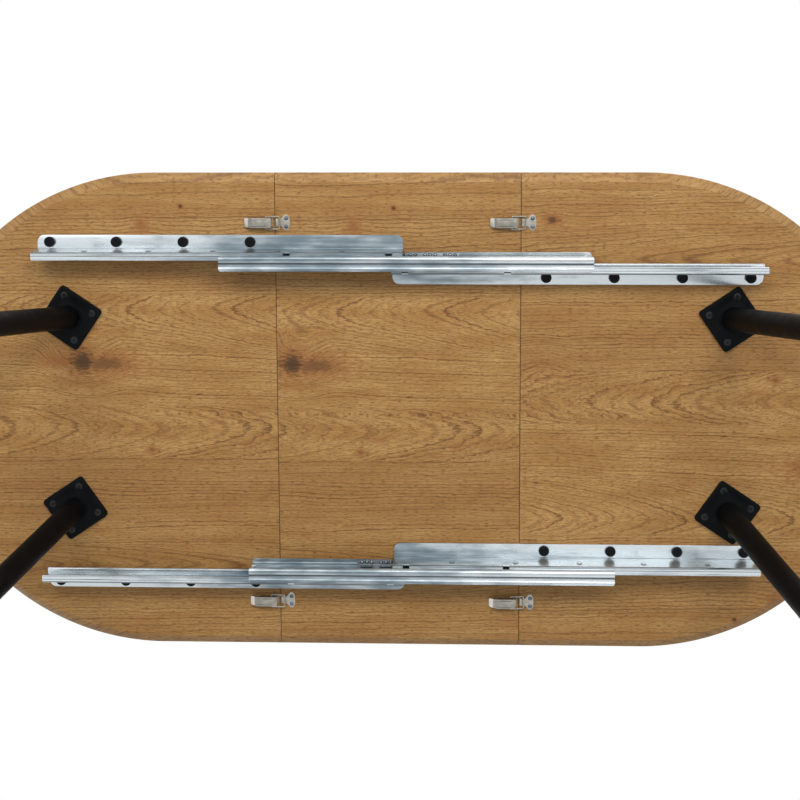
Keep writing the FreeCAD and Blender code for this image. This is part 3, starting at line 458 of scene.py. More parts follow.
@dataclass(frozen=True)
class OakDecor(Finish):
    """Oak print on a foil-wrapped board, satin and lightly embossed.

    The foil gives arched and straight growth rings, short dark pores along the grain and a few
    knots. It is stretched over the wide bevel, where the figure runs across the edge, and the edges
    beside the seams are darkened, partly the board's core and partly painted shade of the gap.
    """

    shift_x: float = 0.0
    shift_y: float = 0.0
    turned: bool = False
    bevel: float = 14.5 * MM
    bevel_stretch: float = 3.7

    def paint(self, tree: Tree, where: Socket) -> dict[str, Any]:
        """Builds the print in the decor's own coordinates, as Finish.paint says.

        Args:
            tree: The material's tree.
            where: Object coordinates.

        Returns:
            What the shader's inputs get, by name.
        """
        place = add(tree, AXES, where).node.outputs
        facing = add(tree, AXES, where.node.outputs["Normal"], out=2)
        decor, past = self.decor_place(tree, place[0], place[1], facing)
        x, y, _ = add(tree, AXES, decor).node.outputs
        # slow sways of 250 mm and short ones of 45 mm keep the rings from running dead straight
        sway = add(tree, "SUBTRACT", self.grain(tree, decor, (250, 70, 70), 1.0), 0.5)
        ripple = add(tree, "SUBTRACT", self.grain(tree, decor, (45, 16, 16)), 0.5)
        ripple = add(tree, "MULTIPLY", ripple, 0.006)
        wander = add(tree, "MULTIPLY_ADD", sway, 0.020, ripple)
        rings, tone, jagged = self.rings(tree, x, add(tree, "ADD", y, wander), y)
        waver = self.grain(tree, decor, (15, 4.5, 4.5), 3.0, 0.6)
        rings = add(tree, "MULTIPLY_ADD", waver, jagged, rings)
        core, bend = self.knots(tree, decor, x, y)
        rings = add(tree, "ADD", rings, bend)
        broken = self.grain(tree, decor, (22, 2.0, 2.0))
        gaps = add(tree, RANGE, broken, 0.34, 0.60, 0.50, 1.0, **EASED)
        line = self.late_wood(tree, rings, gaps, 0.88, 0.36, (0.22, 1.0))
        # every ring holds two or three finer lines
        finer = add(tree, "MULTIPLY", rings, 2.7)
        fine = self.late_wood(tree, finer, gaps, 0.72, 0.55, (0.05, 0.75))
        # pores: dashes about 9 mm long, drawn 1.1 mm wide so that they show
        pores = add(tree, RANGE, self.grain(tree, decor, (9, 1.1, 1.1), 1.0), 0.53, 0.70, **EASED)
        flecks = add(tree, RANGE, self.grain(tree, decor, (26, 1.5, 1.5)), 0.30, 0.75, **EASED)
        cloud = add(tree, RANGE, self.grain(tree, decor, (170, 30, 30), 3.0), 0.32, 0.68, **EASED)
        darker = add(tree, RANGE, tone, 0.35, 0.65, 0.45, 0.0, **EASED)
        depth = add(tree, RANGE, core, 0.60, 1.0, **EASED)
        heart = add(tree, MIX, {0: depth, 6: "#8A5226", 7: "#3B200B"}, **COLOURS)
        # over the bevel the foil is paler, with strokes across the edge
        strokes = add(tree, RANGE, self.grain(tree, decor, (3.7, 9, 9)), 0.3, 0.7, **EASED)
        bevel = add(tree, MIX, {0: strokes, 6: "#97774E", 7: "#AE8E60"}, **COLOURS)
        over = add(tree, RANGE, past, 0.4 * MM, 1.6 * MM, 0.0, 0.26, **EASED)
        colour: Any = "#AB7F46"
        for share, strength, laid in (
                (cloud, 1.0, "#C29A5E"), (darker, 1.0, "#9A6F3C"), (flecks, 0.52, "#8A6031"),
                (pores, 0.80, "#64411F"), (fine, 0.82, "#6C4623"), (line, 0.94, "#613C1F"),
                (core, 0.92, heart), (over, 1.0, bevel),
                # dark seam edge: partly the board's core and partly painted shade of the gap
                (self.seam(tree, place[0], facing), 1.0, "#3A2614")):
            if strength < 1.0:
                share = add(tree, "MULTIPLY", share, strength)
            colour = add(tree, MIX, {0: share, 6: colour, 7: laid}, **COLOURS)
        hollow = add(tree, "MAXIMUM", add(tree, "MULTIPLY", pores, 0.7), line)
        relief = add(tree, "SUBTRACT", 1.0, hollow)
        return {"Base Color": colour, "Roughness": add(tree, RANGE, broken, 0.3, 0.7, 0.46, 0.56, **EASED),
                "IOR": 1.5, "Specular IOR Level": 0.35,
                "Normal": add(tree, BUMP, {"Height": relief, "Distance": 0.05 * MM, "Strength": 1.0})}

    @staticmethod
    def late_wood(tree: Tree, rings: Socket, gaps: Socket, rise_from: float, fade_to: float,
                  strengths: tuple[float, float]) -> Socket:
        """A thin dark line at each ring that starts sharply and fades.

        Args:
            tree: The material's tree.
            rings: The ring count.
            gaps: How much of the line is left at each place.
            rise_from: Share of the ring at which the next line starts.
            fade_to: Share of the ring at which its own line has faded.
            strengths: Strength of the faintest and of the darkest line.

        Returns:
            The line's strength.
        """
        share = add(tree, "FRACT", rings)
        number = add(tree, "FLOOR", add(tree, "ADD", rings, 1 - rise_from))
        chance = add(tree, "ShaderNodeTexWhiteNoise", {"W": number}, out="Value", noise_dimensions="1D")
        rise = add(tree, RANGE, share, rise_from, 1.0, **EASED)
        fade = add(tree, RANGE, share, 0.0, fade_to, 1.0, 0.0, **EASED)
        line = add(tree, "MAXIMUM", rise, fade)
        for part in (add(tree, RANGE, chance, 0.0, 1.0, *strengths, **EASED), gaps):
            line = add(tree, "MULTIPLY", line, part)
        return line

    @staticmethod
    def seam(tree: Tree, x: Socket, facing: Socket) -> Socket:
        """The narrow dark edge beside a seam, partly the board's core and partly painted shade of the gap.

        Args:
            tree: The material's tree.
            x: Place along the table.
            facing: How far the surface faces up, from -1 to 1; the seam's own faces stay pale.

        Returns:
            How dark the edge is.
        """
        off = add(tree, "SUBTRACT", add(tree, "ABSOLUTE", x), SEAM_X)
        off = add(tree, "ABSOLUTE", off)
        dark = add(tree, RANGE, off, 0.4 * MM, 1.0 * MM, 0.85, 0.0, **EASED)
        return add(tree, "MULTIPLY", dark, add(tree, "ABSOLUTE", facing))

    @staticmethod
    def reach(tree: Tree, x: Socket, y: Socket) -> Socket:
        """How far a place is from the middle, from its two parts."""
        square = add(tree, "MULTIPLY", y, y)
        return add(tree, "SQRT", add(tree, "MULTIPLY_ADD", x, x, square))

    def decor_place(self, tree: Tree, x: Socket, y: Socket, facing: Socket) -> tuple[Socket, Socket]:
        """Pulls the place in over the bevel and moves it to the print's own place.

        Args:
            tree: The material's tree.
            x: Place along the table.
            y: Place across it.
            facing: How far the surface faces up, from -1 to 1.

        Returns:
            The place in the print, and how far it is past the flat underside.
        """
        hub = add(tree, "MAXIMUM", add(tree, "MINIMUM", x, END_X), -END_X)
        off_hub = add(tree, "SUBTRACT", x, hub)
        radius = self.reach(tree, off_hub, y)
        past = add(tree, "SUBTRACT", radius, END_RADIUS - self.bevel)
        past = add(tree, "MAXIMUM", past, 0.0)
        pull = add(tree, "MULTIPLY", past, 1 - 1 / self.bevel_stretch)
        pulled = add(tree, "SUBTRACT", radius, pull)
        share = add(tree, "DIVIDE", pulled, add(tree, "MAXIMUM", radius, 0.01))
        upward = add(tree, "GREATER_THAN", facing, 0.9)
        share = add(tree, "MAXIMUM", share, upward)
        sign = -1.0 if self.turned else 1.0
        new_x = add(tree, "MULTIPLY_ADD", off_hub, share, hub)
        new_y = add(tree, "MULTIPLY", y, share)
        moved = [add(tree, "MULTIPLY_ADD", part, sign, shift)
                 for part, shift in ((new_x, self.shift_x), (new_y, self.shift_y))]
        level = add(tree, "SUBTRACT", 1.0, upward)
        return add(tree, "ShaderNodeCombineXYZ", *moved), add(tree, "MULTIPLY", past, level)

    @staticmethod
    def rings(tree: Tree, x: Socket, y: Socket, edge: Socket) -> tuple[Socket, ...]:
        """Counts growth rings over every plank of the print.

        Args:
            tree: The material's tree.
            x: Place along the grain.
            y: Place across the grain, swayed by noise.
            edge: Place across the grain, straight, for the joints between planks.

        Returns:
            The ring count, the plank's tone and how jagged its rings are.
        """
        found: tuple[Any, ...] = (0.0, 0.5, 0.5)
        for number, plank in enumerate(PLANKS):
            across = add(tree, "SUBTRACT", y, plank.pith)
            across = add(tree, "DIVIDE", across, plank.half_width)
            bow = add(tree, "MULTIPLY_ADD", across, across, 0.006)
            arch = add(tree, "POWER", add(tree, "SQRT", bow), plank.point)
            # 17.3 rings from plank to plank, so that no two start alike
            along = add(tree, "MULTIPLY_ADD", x, -plank.lobes, 17.3 * number)
            count = add(tree, "MULTIPLY_ADD", arch, -plank.spread, along)
            inside = add(tree, "GREATER_THAN", edge, plank.low)
            found = tuple(add(tree, MIX, {0: inside, 2: before, 3: here})
                          for before, here in zip(found, (count, plank.tone, plank.waver)))
        return found

    def knots(self, tree: Tree, where: Socket, x: Socket, y: Socket) -> tuple[Any, Any]:
        """Works the knots out.

        Args:
            tree: The material's tree.
            where: Place in the print.
            x: Place along the grain.
            y: Place across the grain.

        Returns:
            How dark their cores are, and how far they push the rings aside.
        """
        frayed = add(tree, "MULTIPLY_ADD", self.grain(tree, where, (11, 3.5, 3.5), 3.0, 0.65), 2.6, -0.3)
        core: Any = 0.0
        bend: Any = 0.0
        for knot in KNOTS:
            off = [add(tree, "SUBTRACT", place, middle)
                   for place, middle in ((x, knot.x), (y, knot.y))]
            off = [add(tree, "MULTIPLY", part, 1 / size)
                   for part, size in zip(off, (knot.along, knot.across))]
            reach = self.reach(tree, *off)
            ragged = add(tree, "MULTIPLY", reach, frayed)
            dark = add(tree, RANGE, ragged, 0.12, 1.20, knot.darkness, 0.0, **EASED)
            core = add(tree, "MAXIMUM", core, dark)
            if knot.push:
                push = add(tree, RANGE, reach, 0.3, 2.2, knot.push, 0.0, **EASED)
                bend = add(tree, "ADD", bend, push)
        return core, bend


@dataclass(frozen=True)
class ZincSheet(Finish):
    """Bright zinc-plated sheet steel, roll formed.

    The plating is bluish and shiny, with soft streaks along the strip, cloudy patches where it took
    unevenly and a few dark specks; painted shade in the creases, and a painted reflection at the ends.
    """

    light: str = "#D2DADE"
    dull: str = "#75838B"
    crease: str = "#4C555A"
    shine: float = 0.27

    def paint(self, tree: Tree, where: Socket) -> dict[str, Any]:
        """Streaks and clouds steer colour and roughness; a point attribute paints shade into the creases.

        Args:
            tree: The material's tree.
            where: Object coordinates.

        Returns:
            What the shader's inputs get, by name.
        """
        streaks = self.grain(tree, where, (160, 4.5, 4.5))
        clouds = add(tree, "MULTIPLY", self.grain(tree, where, (75, 26, 26), 3.0, 0.55), 0.72)
        mixed = add(tree, "MULTIPLY_ADD", streaks, 0.28, clouds)
        # painted reflection: the zinc is painted brighter away from the middle of the table
        ends = add(tree, "ADD", add(tree, AXES, where), 0.10)
        ends = add(tree, RANGE, add(tree, "ABSOLUTE", ends), 0.08, 0.42, 0.0, 0.28, **EASED)
        mixed = add(tree, "ADD", mixed, ends)
        specks = self.grain(tree, where, (6, 2.6, 2.6), 3.0, 0.7)
        specks = add(tree, RANGE, specks, 0.66, 0.76, 0.0, 0.40, **EASED)
        # painted shade in the creases and round the dimples' rims, read from the points' attribute
        grime = add(tree, "ShaderNodeAttribute", out="Fac", attribute_name="grime")
        colour: Any = self.dull
        for share, laid in ((add(tree, RANGE, mixed, 0.38, 0.80, **EASED), self.light), (specks, "#6F797E"),
                            (grime, self.crease)):
            colour = add(tree, MIX, {0: share, 6: colour, 7: laid}, **COLOURS)
        rough = add(tree, RANGE, mixed, 0.3, 0.7, self.shine + 0.12, self.shine, **EASED)
        return {"Base Color": colour, "Roughness": rough, "Metallic": 0.8,
                "Normal": add(tree, BUMP, {"Height": streaks, "Distance": 0.002 * MM, "Strength": 1.0})}


@dataclass(frozen=True)
class NickelSheet(Finish):
    """Nickel-plated pressed steel: warm grey and satin, with faint brushing along the strip."""

    light: str = "#ABA89F"
    dark: str = "#99968D"
    shine: float = 0.26
    rubbed: str = ""

    def paint(self, tree: Tree, where: Socket) -> dict[str, Any]:
        """Brushing and a light mottle vary the colour and the roughness; a lever also gets painted light.

        Args:
            tree: The material's tree.
            where: Object coordinates.

        Returns:
            What the shader's inputs get, by name.
        """
        brushing = self.grain(tree, where, (16, 0.5, 0.5))
        film = add(tree, RANGE, self.grain(tree, where, (12, 8, 8)), 0.3, 0.7, **EASED)
        colour = add(tree, MIX, {0: film, 6: self.dark, 7: self.light}, **COLOURS)
        if self.rubbed:
            colour = self.worn(tree, where, colour)
        rough = add(tree, RANGE, brushing, 0.3, 0.7, self.shine, self.shine + 0.14, **EASED)
        return {"Base Color": colour, "Roughness": rough, "Metallic": 1.0,
                "Normal": add(tree, BUMP, {"Height": brushing, "Distance": 0.004 * MM, "Strength": 1.0})}

    def worn(self, tree: Tree, where: Socket, colour: Socket) -> Socket:
        """A lever's finger tab gets a painted highlight, and painted shade lines the edges of its pressed
        panel.

        Args:
            tree: The material's tree.
            where: Object coordinates.
            colour: The plain finish.

        Returns:
            The worn colour.
        """
        x, y, _ = add(tree, AXES, where).node.outputs
        right = add(tree, "GREATER_THAN", x, 0.0)
        seam = add(tree, "MULTIPLY_ADD", right, 2 * SEAM_X, -SEAM_X)
        from_seam = add(tree, "SUBTRACT", seam, x)
        aside = add(tree, "SUBTRACT", add(tree, "ABSOLUTE", y), LATCH_ROW)
        aside = add(tree, "ABSOLUTE", aside)
        # the panel's edges are 5.2 mm to each side, and its middle is 26 mm from the seam
        beside, along = (
            add(tree, "ABSOLUTE", add(tree, "SUBTRACT", far, middle))
            for far, middle in ((aside, 5.2 * MM), (from_seam, 26 * MM)))
        # painted shade along the edges of the pressed panel
        line = add(tree, "MULTIPLY", add(tree, RANGE, beside, 0.3 * MM, 0.9 * MM, 0.75, 0.0, **EASED),
                   add(tree, RANGE, along, 12.5 * MM, 14 * MM, 1.0, 0.0, **EASED))
        # painted highlight on the finger tab
        tab = add(tree, RANGE, from_seam, 42.5 * MM, 44 * MM, **EASED)
        for share, laid in ((tab, self.rubbed), (line, "#57554F")):
            colour = add(tree, MIX, {0: share, 6: colour, 7: laid}, **COLOURS)
        return colour


@dataclass(frozen=True)
class Mottled(Finish):
    """A plain surface whose colour and roughness drift between two states, with or without a fine relief.

    colour_span and rough_span are the stretch of the mottle over which each changes; without a
    colour_span the mottle itself mixes the colours. relief_mm is the grain of the relief.
    """

    colours: tuple[str, str]
    rough: tuple[float, float]
    mottle_mm: tuple[float, float, float]
    uniform: tuple[tuple[str, float], ...]
    detail: float = 3.0
    colour_span: tuple[float, float] | None = None
    rough_span: tuple[float, float] = (0.3, 0.7)
    relief_mm: float = 0.0

    def paint(self, tree: Tree, where: Socket) -> dict[str, Any]:
        """One mottle steers colour and roughness.

        Args:
            tree: The material's tree.
            where: Object coordinates.

        Returns:
            What the shader's inputs get, by name.
        """
        mottle = self.grain(tree, where, self.mottle_mm, self.detail)
        share = add(tree, RANGE, mottle, *self.colour_span, **EASED) if self.colour_span else mottle
        inputs = {"Base Color": add(tree, MIX, {0: share, 6: self.colours[0], 7: self.colours[1]}, **COLOURS),
                  "Roughness": add(tree, RANGE, mottle, *self.rough_span, *self.rough, **EASED),
                  **dict(self.uniform)}
        if self.relief_mm:
            relief = self.grain(tree, where, (self.relief_mm,) * 3)
            inputs["Normal"] = add(tree, BUMP, {"Height": relief, "Distance": 0.03 * MM, "Strength": 1.0})
        return inputs


OAK_LEFT = OakDecor("oak_decor_left")
OAK_LEAF = OakDecor("oak_decor_leaf", shift_x=-0.348, shift_y=-0.003)
OAK_RIGHT = OakDecor("oak_decor_right", shift_x=0.204, shift_y=0.001, turned=True)
ZINC = ZincSheet("zinc_plated_sheet")
ZINC_CAGE = ZincSheet("zinc_plated_cage", light="#A9B2B7", dull="#767F84")
ZINC_SLEEVE = ZincSheet("zinc_plated_sleeve", light="#CFC9AE", dull="#9A957F")
NICKEL = NickelSheet("nickel_plated_sheet")
# the lever has a painted highlight on its finger tab and painted shade along its panel's edges
NICKEL_LEVER = NickelSheet("nickel_plated_lever", light="#9E9B92", dark="#8B8880", rubbed="#D2CFC6")
NICKEL_SCREW = NickelSheet("nickel_plated_screw", light="#717C88", dark="#4B5561", shine=0.24)
# bearing grease and painted shade of the gap, as a ring round each ball: nearly black, with a wet shine that
# varies
GREASE_AND_GAP_SHADE = Mottled("bearing_grease", ("#0F1011", "#26241F"), (0.30, 0.45), (1.5, 1.5, 1.5),
                 (("Specular IOR Level", 0.3),), detail=2.0)
# matt black powder coat on steel: an orange peel of 0.9 mm, and faint handling marks
BLACK_COAT = Mottled("black_powder_coat", ("#070809", "#0C0D0F"), (0.41, 0.54), (30, 30, 30),
                     (("Specular IOR Level", 0.06),), colour_span=(0.35, 0.7), relief_mm=0.9)
# black-oxide steel of bolts and screws: dark and mottled, with a thin oily shine
BLACK_OXIDE = Mottled("black_oxide", ("#08080A", "#131417"), (0.26, 0.40), (2.5, 2.5, 2.5),
                      (("Specular IOR Level", 0.10),))
BLACK_SCREW = Mottled("black_oxide_screw", ("#0B0C0E", "#131417"), (0.26, 0.40), (2.5, 2.5, 2.5),
                      (("Specular IOR Level", 0.26),))
# hardened and polished ball steel, which a film of grease darkens in patches
BEARING_STEEL = Mottled("bearing_steel", ("#B0B4B8", "#7B7C79"), (0.46, 0.58), (3, 3, 3), (("Metallic", 1.0),),
                        detail=2.0, colour_span=(0.4, 0.7), rough_span=(0.4, 0.7))
# moulded black polyethylene of the leg glides: dull and scuffed, with a moulded grain of 0.5 mm
BLACK_PE = Mottled("black_polyethylene", ("#151515", "#2A2927"), (0.50, 0.66), (9, 9, 2), (("IOR", 1.51),),
                   colour_span=(0.45, 0.75), relief_mm=0.5)


# ---------------------------------------------------------------------------------------------
# Repeated pieces, by Geometry Nodes
# ---------------------------------------------------------------------------------------------


def new_tree(name: str, inputs: dict[str, str], output: str) -> tuple[Tree, Any]:
    """Starts a Geometry Nodes tree.

    Args:
        name: Its name.
        inputs: The kind of each named input.
        output: Name of its output.

    Returns:
        The tree, and its inputs as outputs of a node.
    """
    tree = bpy.data.node_groups.new(name, "GeometryNodeTree")
    for label, kind in inputs.items():
        tree.interface.new_socket(label, in_out="INPUT", socket_type="NodeSocket" + kind)
    tree.interface.new_socket(output, in_out="OUTPUT", socket_type="NodeSocketGeometry")
    return tree, add(tree, "NodeGroupInput").node.outputs


def end_tree(tree: Tree, shape: Socket, finish: Socket) -> Tree:
    """Makes the copies real, gives them their material and closes the tree.

    Args:
        tree: The tree.
        shape: The copies.
        finish: Their material.

    Returns:
        The tree.
    """
    real = add(tree, "GeometryNodeRealizeInstances", {"Geometry": shape})
    dressed = add(tree, "GeometryNodeSetMaterial", {"Geometry": real, "Material": finish})
    add(tree, "NodeGroupOutput", dressed)
    return tree


def repeat_tree() -> Tree:
    """Makes a tree that puts one small piece at every point of a mesh.

    Returns:
        The tree.
    """
    tree, given = new_tree("repeat_at_points", {"Places": "Geometry", "Piece": "Object", "Finish": "Material"},
                           "Pieces")
    piece = add(tree, "GeometryNodeObjectInfo", {"Object": given["Piece"]}, out="Geometry")
    copies = add(tree, "GeometryNodeInstanceOnPoints", {"Points": given["Places"], "Instance": piece})
    return end_tree(tree, copies, given["Finish"])


def ball_row_tree() -> Tree:
    """Makes a tree for rows of balls in groups of three, with named inputs for its sizes.

    Returns:
        The tree.
    """
    tree, given = new_tree("ball_rows", {
        "Groups": "Int", "Group pitch": "Float", "Ball pitch": "Float", "Ball radius": "Float",
        "Row gap": "Float", "Start": "Vector", "Finish": "Material"}, "Balls")
    ball = add(tree, "GeometryNodeMeshIcoSphere", {"Radius": given["Ball radius"], "Subdivisions": 2})
    shape = add(tree, "GeometryNodeSetShadeSmooth", {"Geometry": ball})
    ball_step = add(tree, "ShaderNodeCombineXYZ", given["Ball pitch"])
    group_step = add(tree, "ShaderNodeCombineXYZ", given["Group pitch"])
    row_step = add(tree, "ShaderNodeCombineXYZ", {2: given["Row gap"]})
    for line in ({"Count": 3, "Offset": ball_step}, {"Count": given["Groups"], "Offset": group_step},
                 {"Count": 2, "Offset": row_step, "Start Location": given["Start"]}):
        points = add(tree, "GeometryNodeMeshLine", line)
        shape = add(tree, "GeometryNodeInstanceOnPoints", {"Points": points, "Instance": shape})
    return end_tree(tree, shape, given["Finish"])


def grown(name: str, tree: Tree, mesh: bpy.types.Mesh, values: dict[str, Any]) -> bpy.types.Object:
    """Runs a Geometry Nodes tree on a mesh and keeps the result as a plain mesh.

    Args:
        name: Name of the new piece.
        tree: The tree.
        mesh: What its first input gets, where it has a geometry input.
        values: The other inputs by name.

    Returns:
        The finished object.
    """
    piece = mesh_piece(name, mesh)
    modifier = piece.modifiers.new("grow", "NODES")
    modifier.node_group = tree
    for item in tree.interface.items_tree:
        if item.in_out == "INPUT" and item.name in values:
            modifier[item.identifier] = values[item.name]
    return baked(piece)


def repeated(name: str, master: bpy.types.Object, places: Sequence[Vector], finish: Finish) -> bpy.types.Object:
    """Copies a small piece to every place.

    Args:
        name: Name of the new piece.
        master: The small piece; it is removed.
        places: Where the copies go.
        finish: Their finish.

    Returns:
        All copies as one plain mesh.
    """
    points = bpy.data.meshes.new(name)
    points.from_pydata([tuple(place) for place in places], [], [])
    tree = bpy.data.node_groups.get("repeat_at_points") or repeat_tree()
    piece = grown(name, tree, points, {"Piece": master, "Finish": finish.material()})
    bpy.data.objects.remove(master)
    return piece


def socket_head(name: str, outline: Sequence[tuple[float, float]], turns: int,
                socket: tuple[float, float]) -> bpy.types.Object:
    """A screw or bolt about the Z axis, with a hexagon socket in its face.

    Args:
        name: Name of the piece.
        outline: Radius and height of each ring, from the face to the tip of the shank.
        turns: Corners round each ring.
        socket: Width across flats and depth of the socket.

    Returns:
        The piece.
    """
    flats, depth = socket
    sector = math.pi / 3
    hexagon = []
    for angle in (2 * math.pi * i / turns for i in range(turns)):
        reach = flats / 2 / math.cos((angle + sector / 2) % sector - sector / 2)
        hexagon.append((reach * math.cos(angle), reach * math.sin(angle)))
    face = outline[0][1]
    rings = [[(x, y, height) for x, y in hexagon] for height in (face + depth, face)]
    rings += [circle(radius, height, turns) for radius, height in outline]
    return shell_piece(name, rings, 38.0)


# ---------------------------------------------------------------------------------------------
# The table top
# ---------------------------------------------------------------------------------------------


@dataclass
class TableTop:
    """Two half-oval boards and the leaf between them."""

    end_radius: float = END_RADIUS
    end_x: float = END_X
    seam_x: float = SEAM_X
    seam_gap: float = 0.4 * MM
    low: float = UNDER
    thick: float = 18 * MM
    bevel_width: float = 14.5 * MM
    bevel_rise: float = 10 * MM
    nose: float = 0.9 * MM
    arris: float = 1 * MM
    seam_arris: float = 0.35 * MM
    arc_steps: int = 96
    round_steps: int = 4

    def build(self) -> None:
        """Makes the three boards and dresses the sleeves inside them."""
        edge = self.seam_x + self.seam_gap / 2
        inner = self.seam_x - self.seam_gap / 2
        for name, loop, finish, body in (
                ("left_top", self.half_loop(End.LEFT, edge), OAK_LEFT, "left_half"),
                ("right_top", self.half_loop(End.RIGHT, edge), OAK_RIGHT, "right_half"),
                ("leaf_top", self.leaf_loop(inner), OAK_LEAF, "leaf")):
            piece = mesh_piece(name + "_board", self.board(name + "_board", loop))
            piece.data.materials.append(finish.material())
            settle(piece, body, [name])
        for end in End:
            dress(f"threaded_sleeves_{end.word}", ZINC_SLEEVE.material())

    def profile(self) -> list[tuple[float, float]]:
        """The section of a board's edge, from the underside up.

        Returns:
            Inset from the outline and height above the floor of each corner.
        """
        slope = self.bevel_rise / self.bevel_width
        # the bevel's two edges are rounded by a few tenths of a millimetre
        rows = [(self.bevel_width + 0.8 * MM, 0.0), (self.bevel_width + 0.25 * MM, 0.04 * MM),
                (self.bevel_width - 0.3 * MM, 0.28 * MM), (self.nose, self.bevel_rise - self.nose * slope),
                (0.25 * MM, self.bevel_rise - 0.05 * MM), (0.0, self.bevel_rise + 0.7 * MM)]
        for step in range(self.round_steps + 1):
            angle = math.pi / 2 * step / self.round_steps
            rows.append((self.arris * (1 - math.cos(angle)), self.thick - self.arris * (1 - math.sin(angle))))
        return [(inset, self.low + rise) for inset, rise in rows]

    def half_loop(self, end: End, edge: float) -> Callable[[float], list[tuple[float, float]]]:
        """The outline of a half-oval board as a function of its inset.

        Args:
            end: The half of the table.
            edge: How far its seam face is from the middle.

        Returns:
            The function.
        """
        def loop(inset: float) -> list[tuple[float, float]]:
            """Corners of the outline, inset by a distance."""
            radius = self.end_radius - inset
            points = [(end.value * edge, -radius)]
            for step in range(self.arc_steps + 1):
                angle = -math.pi / 2 + math.pi * step / self.arc_steps
                points.append((end.value * (self.end_x + radius * math.cos(angle)), radius * math.sin(angle)))
            points.append((end.value * edge, radius))
            return points
        return loop

    def leaf_loop(self, inner: float) -> Callable[[float], list[tuple[float, float]]]:
        """The outline of the leaf as a function of its inset.

        Args:
            inner: How far its seam faces are from the middle.

        Returns:
            The function.
        """
        def loop(inset: float) -> list[tuple[float, float]]:
            """Corners of the outline, inset by a distance."""
            half = self.end_radius - inset
            return [(-inner, -half), (inner, -half), (inner, half), (-inner, half)]
        return loop

    def board(self, name: str, loop: Callable[[float], list[tuple[float, float]]]) -> bpy.types.Mesh:
        """One board: a ring of points at every row of the profile, with softened seam edges.

        Args:
            name: Name of the mesh.
            loop: Its outline as a function of the inset.

        Returns:
            The mesh.
        """
        shape = bmesh.new()
        shell(shape, [[(x, y, z) for x, y in loop(inset)] for inset, z in self.profile()])
        seams = [edge for edge in shape.edges if self.on_seam(edge)]
        bmesh.ops.bevel(shape, geom=seams, offset=self.seam_arris, segments=2, profile=0.5, affect="EDGES")
        return plain_mesh(name, shape, 28.0)

    def on_seam(self, edge: bmesh.types.BMEdge) -> bool:
        """Whether an edge is the long under or upper edge of a seam face.

        Args:
            edge: The edge.

        Returns:
            Whether it is.
        """
        first, second = (vert.co for vert in edge.verts)
        across = abs(first.y - second.y) > self.end_radius
        return across and abs(first.x - second.x) < 1e-6 and edge.calc_face_angle(0.0) > 1.0


# ---------------------------------------------------------------------------------------------
# Legs
# ---------------------------------------------------------------------------------------------


@dataclass
class Legs:
    """Plates with their weld beads, leaning tubes, screws and glides."""

    plate_x: float = 542.5 * MM
    plate_y: float = 162 * MM
    turn: float = math.radians(34.3)
    splay: float = math.radians(14)
    under: float = UNDER
    plate_thick: float = 5 * MM
    plate_edge: float = 0.5 * MM
    tube_radius: float = 19 * MM
    sole: float = 4 * MM
    hole_off: float = 27 * MM
    screw_radius: float = 6 * MM
    screw_socket: tuple[float, float] = (4 * MM, 2 * MM)
    screw_sides: int = 24
    tube_sides: int = 72

    def build(self) -> None:
        """Makes the tubes and screws, softens the plates and dresses the glides."""
        for end in End:
            places = []
            for side in Side:
                corner = f"{side.word}_{end.word}"
                softened(f"leg_plate_{corner}", BLACK_COAT.material(), self.plate_edge)
                tube = self.tube(f"leg_tube_{corner}_smooth", end, side)
                tube.data.materials.append(BLACK_COAT.material())
                settle(tube, f"{end.word}_half", [f"leg_tube_{corner}"])
                places += self.screw_places(end, side)
            self.screws(end.word, places)
            dress(f"leg_glides_{end.word}", BLACK_PE.material())

    def directions(self, end: End, side: Side) -> tuple[Vector, Vector]:
        """The level direction that a leg's foot leans towards, and the one across it.

        Args:
            end: The half of the table.
            side: The side of the table.

        Returns:
            Both directions.
        """
        outward = Vector((end.value * math.cos(self.turn), side.value * math.sin(self.turn), 0))
        return outward, Vector((-outward.y, outward.x, 0))

    def tube(self, name: str, end: End, side: Side) -> bpy.types.Object:
        """A round tube along the leg, cut level under the plate and above the glide.

        Args:
            name: Name of the piece.
            end: The half of the table.
            side: The side of the table.

        Returns:
            The tube.
        """
        outward, across = self.directions(end, side)
        axis = (outward * math.sin(self.splay) - Vector((0, 0, math.cos(self.splay)))).normalized()
        third = axis.cross(across)
        top = Vector((end.value * self.plate_x, side.value * self.plate_y, self.under))
        rims = [top + spot.x * across + spot.y * third
                for spot in circle(self.tube_radius, 0.0, self.tube_sides)]
        rings = [[rim + axis * ((level - rim.z) / axis.z) for rim in rims]
                 for level in (self.under - self.plate_thick, self.sole)]
        return shell_piece(name, rings, 50.0)

    def screw_places(self, end: End, side: Side) -> list[Vector]:
        """The four screws of one plate.

        Args:
            end: The half of the table.
            side: The side of the table.

        Returns:
            Their places.
        """
        outward, across = self.directions(end, side)
        centre = Vector((end.value * self.plate_x, side.value * self.plate_y, self.under - self.plate_thick))
        return [centre + self.hole_off * (a * outward + b * across) for a in (-1, 1) for b in (-1, 1)]

    def screws(self, half: str, places: Sequence[Vector]) -> None:
        """Countersunk socket screws, their faces level with the plate.

        Args:
            half: The half of the table.
            places: Where they are.
        """
        face = self.screw_radius
        outline = [(face * 0.93, 0.02 * MM), (face, 0.25 * MM), (face * 0.5, 3 * MM), (face * 0.5, 14 * MM)]
        master = socket_head("leg_screw", outline, self.screw_sides, self.screw_socket)
        piece = repeated(f"leg_screws_{half}_set", master, places, BLACK_SCREW)
        settle(piece, f"{half}_half", [f"leg_screws_{half}"])


# ---------------------------------------------------------------------------------------------
# Slides
# ---------------------------------------------------------------------------------------------


